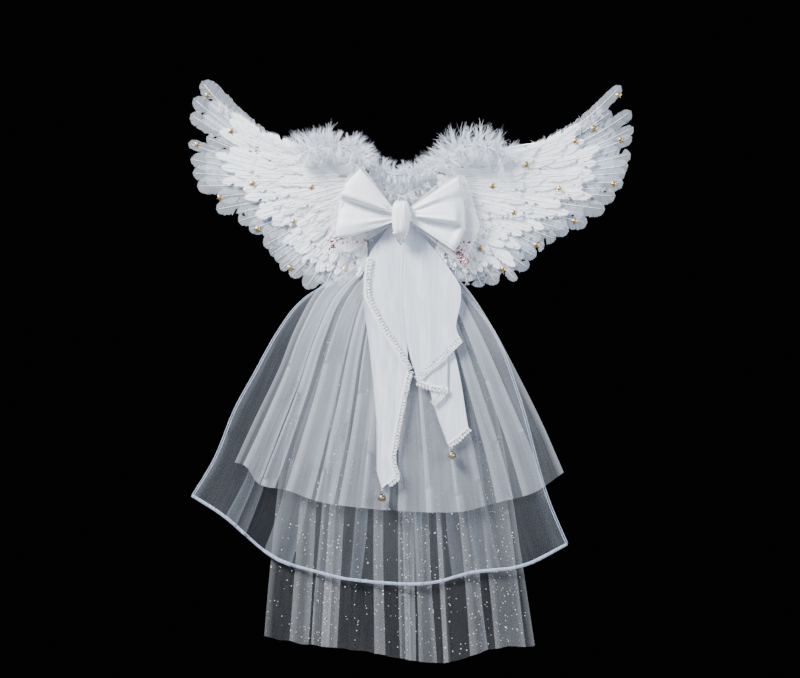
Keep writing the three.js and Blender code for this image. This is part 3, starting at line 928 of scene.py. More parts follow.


# Flight and covert vanes run from blue-grey to white by the barbs' streaks, which are partly random tone
# and partly painted shade between the barbs.
FLIGHT = FeatherFinish("flight_feather", "feather", (0.5, 0.6, 0.75), (0.84, 0.89, 0.96), 0.55, 0.36,
                       opacity=0.27, ragged=0.25)
COVERT = FeatherFinish("covert_feather", "covert", (0.74, 0.79, 0.87), (0.97, 0.97, 0.98), 0.65, 0.42,
                       opacity=1.05, ragged=0.7)
DOWN = DownFinish("marabou_down", "marabou", (0.72, 0.76, 0.84), (0.97, 0.97, 0.98), 0.85, 0.2)
SATIN = SatinFinish("bow_satin", "satin", (0.8, 0.82, 0.88), (0.92, 0.93, 0.96), 0.38, 0.15)
# Painted shade: the sash tails and the front cover use a darker, bluer copy of the white bow satin,
# standing for the shade that they lie in.
SHADED_SASH_SATIN = SatinFinish("sash_satin", "satin", (0.58, 0.62, 0.7), (0.8, 0.83, 0.89), 0.42, 0.15,
                         sheen=0.2)
HEM_SATIN = SatinFinish("rolled_hem_satin", "satin", (0.16, 0.2, 0.28), (0.36, 0.42, 0.54), 0.5, 0.2)
SHEER = SheerFinish("bow_organza", "organza", (0.84, 0.84, 0.88), (0.95, 0.93, 0.95), 0.5, 0.1,
                    opacity=0.26, crease=0.4)
ORGANZA = SheerFinish("train_organza", "organza", (0.62, 0.72, 0.88), (0.78, 0.85, 0.96), 0.45, 0.1,
                      opacity=0.022, crease=0.05, mesh=3200.0)
TULLE = SheerFinish("pleated_tulle", "tulle", (0.62, 0.72, 0.88), (0.84, 0.89, 0.97), 0.7, 0.2,
                    opacity=0.062, crease=0.17, mesh=1100.0)
GLITTER_TULLE = SheerFinish("glitter_net", "glitter_tulle", (0.72, 0.76, 0.84), (0.84, 0.87, 0.93),
                            0.7, 0.2, opacity=0.03, crease=0.08, mesh=1100.0)
# Painted reflection: about a fifth of the glitter dots are near-black, standing for flakes that mirror
# the dark surroundings; the rest show the glitter's own colour.
GLITTER = HardFinish("glitter_dots", "glitter_tulle", (0.01, 0.01, 0.015), (0.96, 0.9, 0.78), 0.3, 0.1,
                     metallic=0.15, scuff=0.1, toned=True)
LACE = LaceFinish("scalloped_lace", "lace", (0.8, 0.82, 0.86), (0.96, 0.96, 0.97), 0.8, 0.6)
# Painted shadow: the lace and knot beads run at random from near-black to silver; the dark ones stand for
# shadow among the lace threads and under the knot.
SPARKLE_AND_SHADOW_BEADS = HardFinish("lace_sparkle", "sequin", (0.2, 0.19, 0.2), (0.95, 0.95, 0.97), 0.2, 0.1,
                     toned=True)
PINK = HardFinish("pink_sequin", "sequin", (0.3, 0.14, 0.18), (0.92, 0.66, 0.7), 0.22, 0.1,
                  metallic=0.5, toned=True)
GOLD = HardFinish("gold_star", "bell", (0.5, 0.33, 0.1), (0.86, 0.62, 0.28), 0.3, 0.2, scuff=0.3)
BELL = HardFinish("bell_metal", "bell", (0.16, 0.12, 0.07), (0.62, 0.5, 0.32), 0.22, 0.2, scuff=0.25)
STEEL = HardFinish("drawn_wire", "steel", (0.5, 0.51, 0.54), (0.78, 0.79, 0.82), 0.3, 0.2, scuff=0.3)
PLASTIC = HardFinish("sheet_plastic", "plastic", (0.72, 0.73, 0.75), (0.86, 0.87, 0.88), 0.45, 0.2,
                     metallic=0.0, scuff=0.3)
FELT = NapFinish("pressed_felt", "felt", (0.22, 0.23, 0.25), (0.56, 0.56, 0.565), 0.95, 1.0, scale=420.0,
                 contrast=0.9)
CARD = NapFinish("feather_card", "card", (0.72, 0.71, 0.68), (0.86, 0.85, 0.82), 0.85, 0.3, scale=400.0)
ELASTIC = SatinFinish("ribbed_elastic", "elastic", (0.56, 0.57, 0.6), (0.8, 0.81, 0.83), 0.75, 0.8,
                      warp=4200.0, weft=1500.0, sheen=0.1)
THREAD = SatinFinish("sewing_thread", "satin", (0.8, 0.8, 0.82), (0.96, 0.96, 0.97), 0.6, 0.4,
                     warp=9000.0, weft=5000.0)
FLOOR = NapFinish("studio_floor", "card", (0.3, 0.3, 0.305), (0.36, 0.36, 0.365), 0.8, 0.05, scale=30.0)


# Wings


def box_mm(node: str) -> tuple[np.ndarray, np.ndarray]:
    """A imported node's lowest and highest corners, in millimetres."""
    low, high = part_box(node)
    return np.array(low) / MM, np.array(high) / MM


def middle_depth(node: str) -> float:
    """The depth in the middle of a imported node, in millimetres."""
    low, high = box_mm(node)
    return float((low[1] + high[1]) / 2)


@dataclass
class Feather:
    """One feather: its shaft's line in the wing's plane and its vane's shape."""

    root: np.ndarray
    tip: np.ndarray
    width: float
    y: float
    dip: float = 0.0
    curl: float = 1.2
    lean: float = 0.5
    blunt: float = 0.75
    cup: float = 0.5
    barbs: int = 44

    def spine(self, share: np.ndarray) -> tuple[np.ndarray, np.ndarray]:
        """The shaft at shares of its length, and the direction across it there.

        Args:
            share: shares of the feather's length.

        Returns:
            The points, and the unit directions across.
        """
        share = np.asarray(share, float)
        straight = self.tip - self.root
        place = self.root + straight * share[..., None]
        place[..., 1] -= self.dip * 4 * share * (1 - share)
        ahead = np.stack([np.full_like(share, straight[0]),
                          straight[1] - self.dip * 4 * (1 - 2 * share)], axis=-1)
        ahead = unit(ahead)
        return place, np.stack([-ahead[..., 1], ahead[..., 0]], axis=-1)

    def half_width(self, share: np.ndarray) -> np.ndarray:
        """Half the vane's width at shares of the feather's length, rounded at its tip.

        Args:
            share: shares of the feather's length.

        Returns:
            The half widths, in millimetres.
        """
        length = np.linalg.norm(self.tip - self.root)
        body = lerp(0.42, 1.0, ease(share / 0.55))
        start = 1 - self.blunt * self.width / length
        end = np.clip((share - start) / (1 - start), 0, 1)
        return 0.5 * self.width * body * np.sqrt(np.clip(1 - end**2.2, 0, 1))

    def add_to(self, surface: Surface, random: np.random.Generator) -> None:
        """Adds the feather's two vanes and its shaft.

        Args:
            surface: the row's surface.
            random: where the feather's small differences come from.
        """
        length = np.linalg.norm(self.tip - self.root)
        tone = random.uniform(0, 1)
        base = np.linspace(0.05, 0.97, self.barbs)
        steps = np.array([0.0, 0.35, 0.7, 1.0])
        for side, share_of_width in ((-1, 1.08), (1, 0.92)):
            reach = lerp(0.09, 1.0, ((base - 0.05) / 0.92) ** 0.86)
            keep = np.ones((self.barbs - 1, 3), bool)
            for _ in range(random.integers(1, 4)):
                split = random.integers(8, self.barbs - 4)
                gap = random.uniform(1.2, 3.0) / length
                number = np.arange(self.barbs)
                reach = reach + np.where(
                    number > split, np.exp((split - number) / 3.5), -0.6 * np.exp((number - split) / 3.5)
                ) * gap * (reach < 0.97)
                keep[split, 1:] = False
            reach = np.clip(reach, 0.02, 1.0)
            fray = 1 + 0.05 * random.standard_normal(self.barbs)
            share = lerp(base[:, None], reach[:, None], steps[None, :] ** 1.2)
            place, outward = self.spine(share)
            out = (self.half_width(reach) * share_of_width * fray)[:, None] * steps
            flat = place + outward * (out * side)[..., None]
            spread = out / (0.5 * self.width)
            rise = side * spread * self.lean + self.cup * spread**2 - self.curl * share**3
            rise = rise + 0.5 * ripple(base * 9, int(random.integers(1000)))[:, None] * steps
            grid = np.stack([flat[..., 0], self.y + rise, flat[..., 1]], axis=-1)
            surface.add_grid(grid, keep=keep, along=share * length,
                             across=np.broadcast_to(side * steps, share.shape), tone=tone)
        share = np.linspace(0, 0.97, 12)
        place, _ = self.spine(share)
        path = np.stack([place[:, 0], self.y - 0.4 - self.curl * share**3, place[:, 1]], axis=-1)
        surface.add_tube(path, lerp(0.8, 0.2, share), sides=5, tone=tone, mark=1.0)


@dataclass(frozen=True)
class FeatherRow:
    """One row of feathers: where along the wing it lies and how its feathers differ."""

    node: str
    name: str
    finish: Finish
    root: float
    tip: float
    width: float
    count: int
    scatter: float


@dataclass
class WingPlan:
    """Where one wing's feathers start and end: its root line and its outline of tips."""

    side: Side

    TIPS = {
        Side.LEFT: [
            (-249.8, 170.2), (-259.9, 149.2), (-263.5, 129.1), (-266.3, 93.4), (-263.5, 73.3),
            (-260.8, 56.0), (-255.3, 39.5), (-231.5, 10.3), (-204.1, -4.4), (-190.4, -15.3),
            (-172.1, -35.4), (-163.9, -46.4), (-157.5, -53.7), (-151.1, -64.7), (-138.3, -73.8),
            (-120.0, -88.5), (-96.3, -86.6), (-78.0, -85.0), (-64.0, -78.0), (-54.0, -66.0),
        ],
        Side.RIGHT: [
            (272.6, 164.8), (285.8, 133.2), (288.4, 113.0), (286.7, 100.7), (284.9, 79.7),
            (281.8, 65.7), (278.4, 56.0), (275.8, 43.7), (266.0, 27.1), (253.0, 10.4),
            (230.9, -6.3), (207.7, -16.8), (191.6, -26.5), (177.0, -37.9), (167.0, -48.4),
            (157.7, -63.3), (142.8, -78.2), (118.2, -82.6), (99.8, -86.0), (82.0, -84.0),
            (67.0, -78.0), (56.0, -66.0),
        ],
    }
    ROOT_TOP, ROOT_END = (0.13, 82.6), (0.07, -30.1)
    DIP, DIP_SHARE = 33.0, 0.4

    def __post_init__(self) -> None:
        """Finds the hinge line, and the wing's reach from its outermost feathers."""
        rods = box_mm(f"hinge_rod_{self.side.word}")
        self.hinge = float((rods[0][0] + rods[1][0]) / 2)
        self.tips = np.array(self.TIPS[self.side])
        self.reach = abs(self.tips[:, 0]).max() - abs(self.hinge)

    def root(self, t: float) -> np.ndarray:
        """The point of the root line a share of the way down it."""
        out = lerp(self.ROOT_TOP[0], self.ROOT_END[0], t) * self.reach
        height = lerp(self.ROOT_TOP[1], self.ROOT_END[1], t)
        return np.array([self.hinge + self.side.value * out, height])

    def tip(self, t: float) -> np.ndarray:
        """The point of the outline of tips a share of the way round it.

        Args:
            t: the share round the outline.

        Returns:
            The (x, z) point.
        """
        number = t * (len(self.tips) - 1)
        index = np.arange(len(self.tips))
        return np.array([np.interp(number, index, self.tips[:, k]) for k in (0, 1)])

    def dip(self, t: float, span: float) -> float:
        """How far a feather that covers a span of the wing sags below a straight line."""
        return self.DIP * max(0.0, 1 - t / self.DIP_SHARE) ** 2 * span**2

    def place(self, t: float, share: float) -> np.ndarray:
        """The point a share of the way from the root line to the tips.

        Args:
            t: the share down the wing.
            share: the share of the way out.

        Returns:
            The (x, z) point.
        """
        point = lerp(self.root(t), self.tip(t), share)
        point[1] -= self.dip(t, 1.0) * 4 * share * (1 - share)
        return point


@dataclass
class Wing:
    """One wing: overlapping rows of feathers, marabou, gold stars, and the wire and lining behind."""

    side: Side
    flight_width: float = 21.0
    crown_width: float = 26.0
    flight_root: float = 0.34
    star_size: float = 4.9

    ROWS = (
        FeatherRow("greater_coverts", "greater_covert_feathers", COVERT, 0.24, 0.78, 18.0, 21, 0.03),
        FeatherRow("median_coverts", "median_covert_feathers", COVERT, 0.1, 0.61, 17.0, 19, 0.05),
        FeatherRow("inner_coverts", "inner_covert_feathers", COVERT, -0.06, 0.42, 16.0, 18, 0.06),
    )
    STARS = {
        Side.LEFT: [(-242.5, 152.5), (-212.5, 107.5), (-255, 91), (-129, 71), (-186, 42.5),
                    (-112.5, 37.5), (-227, 25), (-135, -5), (-180, -14), (-139, -62.5), (-70, -65)],
        Side.RIGHT: [(270, 152.5), (216, 95), (272.5, 97.5), (240, 111), (155, 65), (112.5, 39),
                     (196, 36), (139, 6), (215, -4), (264, 42.5), (167.5, -34), (97.5, -39),
                     (126, -64)],
    }
    NARROW = {Side.LEFT: {3: 13.0, 13: 15.0}, Side.RIGHT: {0: 15.0, 1: 16.0, 2: 14.0, 3: 15.0, 16: 11.0}}

    def __post_init__(self) -> None:
        """Lays out the wing's plan and its own source of small differences."""
        self.plan = WingPlan(self.side)
        self.random = np.random.default_rng(31 + self.side.value)
        self.body = f"wing_{self.side.word}"
        self.rows: list = []

    def middle(self, node: str) -> float:
        """The depth in the middle of one of this side's nodes."""
        return middle_depth(f"{node}_{self.side.word}")

    def keep_clear(self, point: np.ndarray, room: float) -> np.ndarray:
        """Moves a point outwards to stay a distance beyond the hinge line."""
        inner = abs(self.plan.hinge) + room
        return np.array([self.side.value * max(abs(point[0]), inner), point[1]])

    def flight_rows(self) -> None:
        """Makes the long flight feathers in their two groups, with shorter ones between and behind."""
        plan, last = self.plan, len(self.plan.tips) - 1
        groups = (("primary_feathers", "primary_flight_feathers", 0.0, 0.5),
                  ("secondary_feathers", "secondary_flight_feathers", 0.5, 1.01))
        for node, name, first, end in groups:
            surface, y = Surface(), self.middle(node)
            for number in np.arange(0, last + 0.5, 0.5):
                t = number / last
                if not first <= t < end:
                    continue
                whole = number == int(number)
                width = self.crown_width if number == 0 else self.flight_width
                width = self.NARROW[self.side].get(number, width * self.random.uniform(0.92, 1.06))
                share = 1.0 if whole else self.random.uniform(0.86, 0.93)
                tip = lerp(plan.root(t), plan.tip(t), share)
                root = lerp(plan.root(t), plan.tip(t), self.flight_root)
                dip = plan.dip(t, share - self.flight_root)
                lift = plan.dip(t, 1.0) * 4 * self.flight_root * (1 - self.flight_root)
                root[1] -= lift
                if not whole:
                    tip[1] -= plan.dip(t, 1.0) * 4 * share * (1 - share)
                Feather(root, tip, width if whole else width * 0.95, y + (0.0 if whole else 0.7),
                        dip=dip, lean=0.45 * self.side.value).add_to(surface, self.random)
            self.rows.append(place_piece(surface, f"{self.side.word}_{name}", FLIGHT, self.body,
                                         (f"{node}_{self.side.word}",)))

    def covert_rows(self) -> None:
        """Makes the three rows of shorter, whiter covert feathers."""
        for row in self.ROWS:
            surface, y = Surface(), self.middle(row.node)
            for layer, shift in ((0, 0.55), (1, 0.0)):
                for number in range(row.count):
                    t = np.clip((number + 0.5 * layer) / (row.count - 0.5)
                                + self.random.normal(0, 0.008), 0, 1)
                    start = row.root + self.random.normal(0, row.scatter * 0.6)
                    end = row.tip + self.random.normal(0, row.scatter) - 0.05 * layer
                    root = self.keep_clear(self.plan.place(t, start), 1.5)
                    tip = self.keep_clear(self.plan.place(t, end), 5.0)
                    tip = tip + self.random.normal(0, 1.8 + row.scatter * 45, 2)
                    width = row.width * self.random.uniform(0.85, 1.1)
                    Feather(root, self.keep_clear(tip, 4.0), width, y + shift * (1 - layer),
                            dip=self.plan.dip(t, end - start), lean=0.5 * self.side.value,
                            curl=self.random.uniform(0.6, 2.2), blunt=1.5,
                            barbs=34).add_to(surface, self.random)
            self.rows.append(place_piece(surface, f"{self.side.word}_{row.name}", row.finish,
                                         self.body, (f"{row.node}_{self.side.word}",)))

    def hinge_feathers(self) -> None:
        """Makes the short feathers glued to the cover's edge, which hide the hinge line."""
        side, surface = self.side.value, Surface()
        y = self.middle("inner_coverts") - 0.9
        for height in (*np.linspace(78, -52, 26), *np.linspace(-24, -48, 7)):
            root = np.array([self.plan.hinge - side * self.random.uniform(3.0, 5.0),
                             height + self.random.normal(0, 2)])
            fall = lerp(-2, -19, ease((70 - height) / 100)) + self.random.normal(0, 2.5)
            tip = root + np.array([side * self.random.uniform(18, 28), fall])
            if height < -30:
                tip = root + np.array([side * self.random.uniform(3, 12), -self.random.uniform(17, 23)])
            Feather(root, tip, self.random.uniform(11, 15), y + self.random.uniform(-0.5, 0.5),
                    lean=0.4 * side, curl=1.5, blunt=1.2, barbs=26).add_to(surface, self.random)
        self.rows.append(place_piece(surface, f"{self.side.word}_hinge_feathers", COVERT,
                                     "back_assembly"))

    def edge_down(self) -> None:
        """Makes the short loose down between the coverts and along the leading edge."""
        surface = Surface()
        count, rooted = 900, 260
        t = self.random.uniform(0, 1, count) ** 1.1
        share = self.random.uniform(0.08, 0.62, count)
        t[:rooted] = self.random.uniform(0, 0.03, rooted)
        share[:rooted] = self.random.uniform(0.3, 0.86, rooted)
        starts = np.array([self.keep_clear(self.plan.place(a, b), 5.0) for a, b in zip(t, share)])
        aims = np.array([self.plan.place(a, min(b + 0.12, 1.0)) for a, b in zip(t, share)]) - starts
        angle = np.arctan2(aims[:, 1], aims[:, 0]) + self.random.normal(0, 0.35, count)
        angle[:rooted] += self.side.value * self.random.uniform(0.15, 1.1, rooted)
        length = self.random.uniform(6, 15, count)
        length[:rooted] *= 0.8
        steps = np.linspace(0, 1, 4)
        turn = angle[:, None] + self.random.normal(0, 0.4, count)[:, None] * steps
        front = self.middle("inner_coverts") - 0.6
        depth = np.where(share < 0.42, front, np.where(share < 0.6, front + 2.2, front + 4.0))
        spines = np.stack([
            starts[:, 0, None] + np.cos(turn) * length[:, None] * steps,
            depth[:, None] - self.random.uniform(0.2, 2.4, count)[:, None] * steps,
            starts[:, 1, None] + np.sin(turn) * length[:, None] * steps,
        ], axis=-1)
        widths = np.broadcast_to(lerp(0.22, 0.06, steps), (count, 4))
        sideways = np.stack([-np.sin(angle), np.zeros(count), np.cos(angle)], axis=-1)
        surface.add_strips(spines, widths, sideways, tone=self.random.uniform(0.3, 1, count))
        self.rows.append(place_piece(surface, f"{self.side.word}_wing_down", DOWN, self.body))

    def stars(self) -> None:
        """Glues domed five-point sequin stars onto the front of the feathers."""
        points, faces, start = [], [], 0
        for row in self.rows:
            points += [v.co.copy() for v in row.data.vertices]
            faces += [[start + k for k in p.vertices] for p in row.data.polygons]
            start = len(points)
        tree = BVHTree.FromPolygons(points, faces)
        surface = Surface()
        for x, z in self.STARS[self.side]:
            hits = []
            for turn in np.linspace(0, 2 * math.pi, 6, endpoint=False):
                place = Vector(((x + 2.5 * math.cos(turn)) * MM, -0.2, (z + 2.5 * math.sin(turn)) * MM))
                hit = tree.ray_cast(place, Vector((0, 1, 0)))
                if hit[0]:
                    hits.append(hit[0].y / MM)
            y = (min(hits) if hits else self.middle("primary_feathers")) - 0.25
            spin = self.random.uniform(0, 2 * math.pi)
            size = self.star_size * self.random.uniform(0.94, 1.06)
            corners = 10
            ring = np.arange(corners)
            angle = spin + ring * math.pi / 5
            rows = []
            for share, lift in ((1.0, 0.0), (0.97, -0.18), (0.55, -0.5), (0.16, -0.62)):
                radius = np.where(ring % 2 == 0, 1.0, 0.46) * size * share
                rows.append(np.stack([x + radius * np.cos(angle), np.full(corners, y + lift),
                                      z + radius * np.sin(angle)], axis=-1))
            first = surface.count
            surface.add_grid(np.array(rows), ring=True)
            surface.cap(first + 3 * corners, corners, flipped=True)
            surface.cap(first, corners)
        place_piece(surface, f"{self.side.word}_gold_stars", GOLD, self.body)

    def marabou(self) -> None:
        """Makes the long down along the wing's inner top edge."""
        y = self.middle("marabou") + 3.0
        outs, heights = (80, 64, 46, 28, 10, 3), (74, 84, 89, 88, 78, 62)
        path = np.array([[self.plan.hinge + self.side.value * u, y, z] for u, z in zip(outs, heights)])
        clump = Marabou(path, plumes=440, shortest=9.0, longest=37.0, seed=7 + self.side.value)
        clump.build(f"{self.side.word}_wing_marabou", self.body, f"marabou_{self.side.word}")

    def lining(self) -> None:
        """Makes the felt lining behind the wing, sewn down each side of the hidden wire."""
        surface = Surface()
        low, high = box_mm(f"rear_lining_{self.side.word}")
        y = float(high[1])
        rows, columns = 60, 44
        grid = np.zeros((rows, columns, 3))
        ridge = np.zeros((rows, columns))
        for r, t in enumerate(np.linspace(0.012, 0.985, rows)):
            for c, share in enumerate(np.linspace(0.03, 0.685, columns)):
                x, z = self.keep_clear(self.plan.place(t, share), 3.2)
                grid[r, c] = (x, y, z)
                wire = min(abs(t - 0.12), abs(t - 0.86), abs(share - 0.6) * 2.2)
                ridge[r, c] = math.exp(-((wire / 0.03) ** 2))
        puff = ripple(grid[..., 0] / 12, 5) * ripple(grid[..., 2] / 11, 9)
        rim = np.minimum(np.arange(rows), np.arange(rows)[::-1])[:, None]
        rim = np.minimum(rim, np.minimum(np.arange(columns), np.arange(columns)[::-1])[None, :])
        grid[..., 1] = y - 0.5 + 1.3 * ridge + 0.6 * puff - 0.5 * np.exp(-rim / 0.8)
        surface.add_grid(grid, along=grid[..., 2], across=grid[..., 0], tone=ridge)
        back = grid[::-1].copy()
        back[..., 1] = float(low[1]) + 0.1
        surface.add_grid(back)
        for edge, rear in ((grid[0], back[-1]), (grid[-1], back[0])):
            surface.add_grid(np.stack([edge, rear]))
        for edge, rear in ((grid[:, 0], back[::-1, 0]), (grid[:, -1], back[::-1, -1])):
            surface.add_grid(np.stack([edge, rear]))
        thread = Surface()
        for line in (0.085, 0.155, 0.825, 0.895):
            self.stitches(thread, [self.plan.place(line, s) for s in np.linspace(0.05, 0.6, 70)], y)
        for rim in (0.045, 0.655):
            self.stitches(thread, [self.plan.place(t, rim) for t in np.linspace(0.03, 0.96, 70)], y)
        place_piece(thread, f"{self.side.word}_lining_stitching", THREAD, self.body)
        lining = place_piece(surface, f"{self.side.word}_felt_lining", FELT, self.body,
                             (f"rear_lining_{self.side.word}",))

    def stitches(self, surface: Surface, points: list, y: float) -> None:
        """Adds a run of short thread stitches through a list of points in the wing's plane.

        Args:
            surface: the thread's surface.
            points: the (x, z) points that it runs through.
            y: the depth of the lining's face.
        """
        line = np.array([[*self.keep_clear(p, 4.0)] for p in points])
        for start, end in zip(line[:-1:2], line[1::2]):
            span = np.linspace(0, 1, 4)
            path = np.stack([lerp(start[0], end[0], span),
                             y + 0.15 + 0.35 * np.sin(math.pi * span),
                             lerp(start[1], end[1], span)], axis=-1)
            surface.add_tube(path, 0.36, sides=4, reference=(0, 1, 0), mark=1.0)

    def build(self) -> None:
        """Builds the whole wing and gives its wire and card their own finishes."""
        self.flight_rows()
        self.covert_rows()
        self.hinge_feathers()
        self.edge_down()
        self.stars()
        self.marabou()
        self.lining()
        dress_node(f"wing_frame_{self.side.word}", STEEL)
        dress_node(f"wing_card_{self.side.word}", CARD)


def dress_node(node: str, finish: Finish) -> None:
    """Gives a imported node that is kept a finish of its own.

    Args:
        node: the node's name.
        finish: its finish.
    """
    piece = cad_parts[node]
    material = finish.material()
    if not piece.material_slots:
        piece.data.materials.append(material)
    for slot in piece.material_slots:
        slot.material = material
    log.info("%s: dressed in %s", node, finish.name)


@dataclass
class Marabou:
    """A boa of marabou down: fine plumes standing out all round a twisted cord."""

    path: np.ndarray
    plumes: int
    shortest: float
    longest: float
    seed: int
    strands: int = 18
    droop: float = 3.0
    stations: int = 80

    def build(self, name: str, body: str, node: str) -> bpy.types.Object:
        """Makes the plumes and their cord.

        Args:
            name: the piece's name.
            body: the body that it rides on.
            node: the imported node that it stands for, or an empty name.

        Returns:
            The finished piece.
        """
        random = np.random.default_rng(self.seed)
        line = along_line(self.path, self.stations)
        ahead = unit(np.gradient(line, axis=0))
        index = random.integers(0, self.stations, self.plumes)
        side = unit(np.cross(ahead[index], FORWARD))
        turn = random.uniform(0, 2 * math.pi, self.plumes)
        radial = side * np.cos(turn)[:, None] + FORWARD * np.sin(turn)[:, None]
        radial[:, 1] *= np.where(radial[:, 1] > 0, 0.25, 0.62)
        radial += ahead[index] * random.normal(0, 0.34, self.plumes)[:, None]
        radial = unit(radial)
        size = lerp(self.shortest, self.longest, random.uniform(0, 1, self.plumes) ** 1.6)
        size *= np.where(radial[:, 2] < -0.3, 0.85, 1.0) * lerp(1.0, 0.62, np.clip(-radial[:, 1], 0, 1))
        size *= np.where(radial[:, 1] > 0.1, 0.3, 1.0)

        count = self.plumes * self.strands
        plume = np.repeat(np.arange(self.plumes), self.strands)
        start_share = random.uniform(0.0, 0.62, count)
        spread = random.normal(0, 1, (count, 3))
        aim = radial[plume] + spread * random.uniform(0.08, 0.42, count)[:, None]
        aim = unit(aim)
        length = size[plume] * (1 - start_share) * random.uniform(0.75, 1.05, count)
        begin = line[index][plume] + radial[plume] * (size[plume] * start_share)[:, None]
        steps = np.linspace(0, 1, 6)
        swirl = random.normal(0, 1, (count, 3))
        spines = (begin[:, None, :] + aim[:, None, :] * (length[:, None] * steps)[..., None]
                  + swirl[:, None, :] * (0.13 * length[:, None] * steps**2)[..., None])
        spines[..., 2] -= self.droop * steps**2 * (length / self.longest)[:, None]
        widths = lerp(0.19, 0.05, steps)[None, :] * random.uniform(0.7, 1.2, count)[:, None]
        sideways = unit(np.cross(aim, FORWARD + 0.3 * random.normal(0, 1, (count, 3))), TINY)
        surface = Surface()
        surface.add_strips(spines, widths, sideways, tone=random.uniform(0.2, 1.0, count))
        cord = 1.3 + 0.25 * np.sin(np.arange(self.stations) * 1.1)
        surface.add_tube(line, cord, sides=8, tone=0.7)
        return place_piece(surface, name, DOWN, body, (node,) if node else ())


# Bow and sash


def edge_at(points: list, heights: np.ndarray) -> np.ndarray:
    """Reads an edge, given from top to bottom as (x, z) points, at a set of heights."""
    line = np.array(points, float)[::-1]
    return np.interp(heights, line[:, 1], line[:, 0])


def bead(surface: Surface, place: np.ndarray, size: float, turn: float, tone: float) -> None:
    """Adds one tiny faceted bead or sequin: a tilted six-sided disc with a raised middle.

    Args:
        surface: the surface to add to.
        place: its middle.
        size: its radius.
        turn: its turn in radians.
        tone: its tone, from 0 to 1.
    """
    angle = turn + np.arange(6) * math.pi / 3
    ring = np.stack([np.cos(angle), 0.35 * np.sin(2 * angle + turn), np.sin(angle)], axis=-1) * size
    crown = ring * np.array([0.45, 1.0, 0.45]) - np.array([0.0, 0.45 * size, 0.0])
    first = surface.count
    surface.add_grid(np.stack([place + ring, place + crown]), ring=True, tone=tone)
    surface.cap(first + 6, 6, flipped=True)
    surface.cap(first, 6)


@dataclass
class Loop:
    """One loop of a bow: a ribbon gathered at the knot, carried out to its edge and back."""

    outline: list
    root_low: tuple
    root_high: tuple
    middle: float
    front: float
    rear: float
    folds: tuple = ()
    wrinkle: float = 0.8
    columns: int = 90
    rows: int = 56
    seed: int = 3

    def grid(self) -> tuple[np.ndarray, np.ndarray]:
        """The loop's points, across the ribbon by round the loop, and their creases.

        Returns:
            The points, as columns by rows by three, and the creases, from 0 to 1.
        """
        across = np.linspace(0, 1, self.columns)
        outer = along_line(self.outline, self.columns, smooth=False)
        smooth = along_line(self.outline, self.columns)
        outer = lerp(outer, smooth, 0.6)
        inner = lerp(np.array(self.root_low), np.array(self.root_high), across[:, None])
        around = np.linspace(0, math.pi, self.rows)
        out = np.sin(around)
        flat = lerp(inner[:, None, :], outer[:, None, :], (out**0.92)[None, :, None])
        bulge = np.cos(around) * np.abs(out) ** 0.75
        depth = np.where(bulge > 0, self.front, self.rear) * bulge
        pinch = np.exp(-((out / 0.45) ** 2)) * (np.abs(np.sin(around)) > 0.02)
        gathers = ripple(across * 21, self.seed, 4)[:, None] * self.wrinkle * (0.3 + 1.4 * pinch)
        y = self.middle - depth[None, :] - gathers * np.sign(np.cos(around) + TINY)
        crease = np.zeros_like(y)
        for place, sharpness, height, reach in self.folds:
            profile = height * np.tanh((across - place) * sharpness) * np.exp(
                -(((across - place) * 3.2) ** 2))
            hold = ease(out / 0.18) * (1 - ease((out - reach) / 0.16)) if reach < 1 else ease(out / 0.18)
            y -= profile[:, None] * hold[None, :] * (np.cos(around) > -0.2)
            crease = np.maximum(crease, np.exp(-(((across - place) * 40) ** 2))[:, None] * hold)
        taper = ease(np.minimum(across, 1 - across) / 0.05)[:, None]
        y = self.middle + (y - self.middle) * lerp(0.55, 1.0, taper)
        grid = np.stack([flat[..., 0], y, flat[..., 1]], axis=-1)
        grid[:, :, 2] += 0.5 * ripple(around * 3 + 1, self.seed + 4)[None, :] * out
        return grid, crease


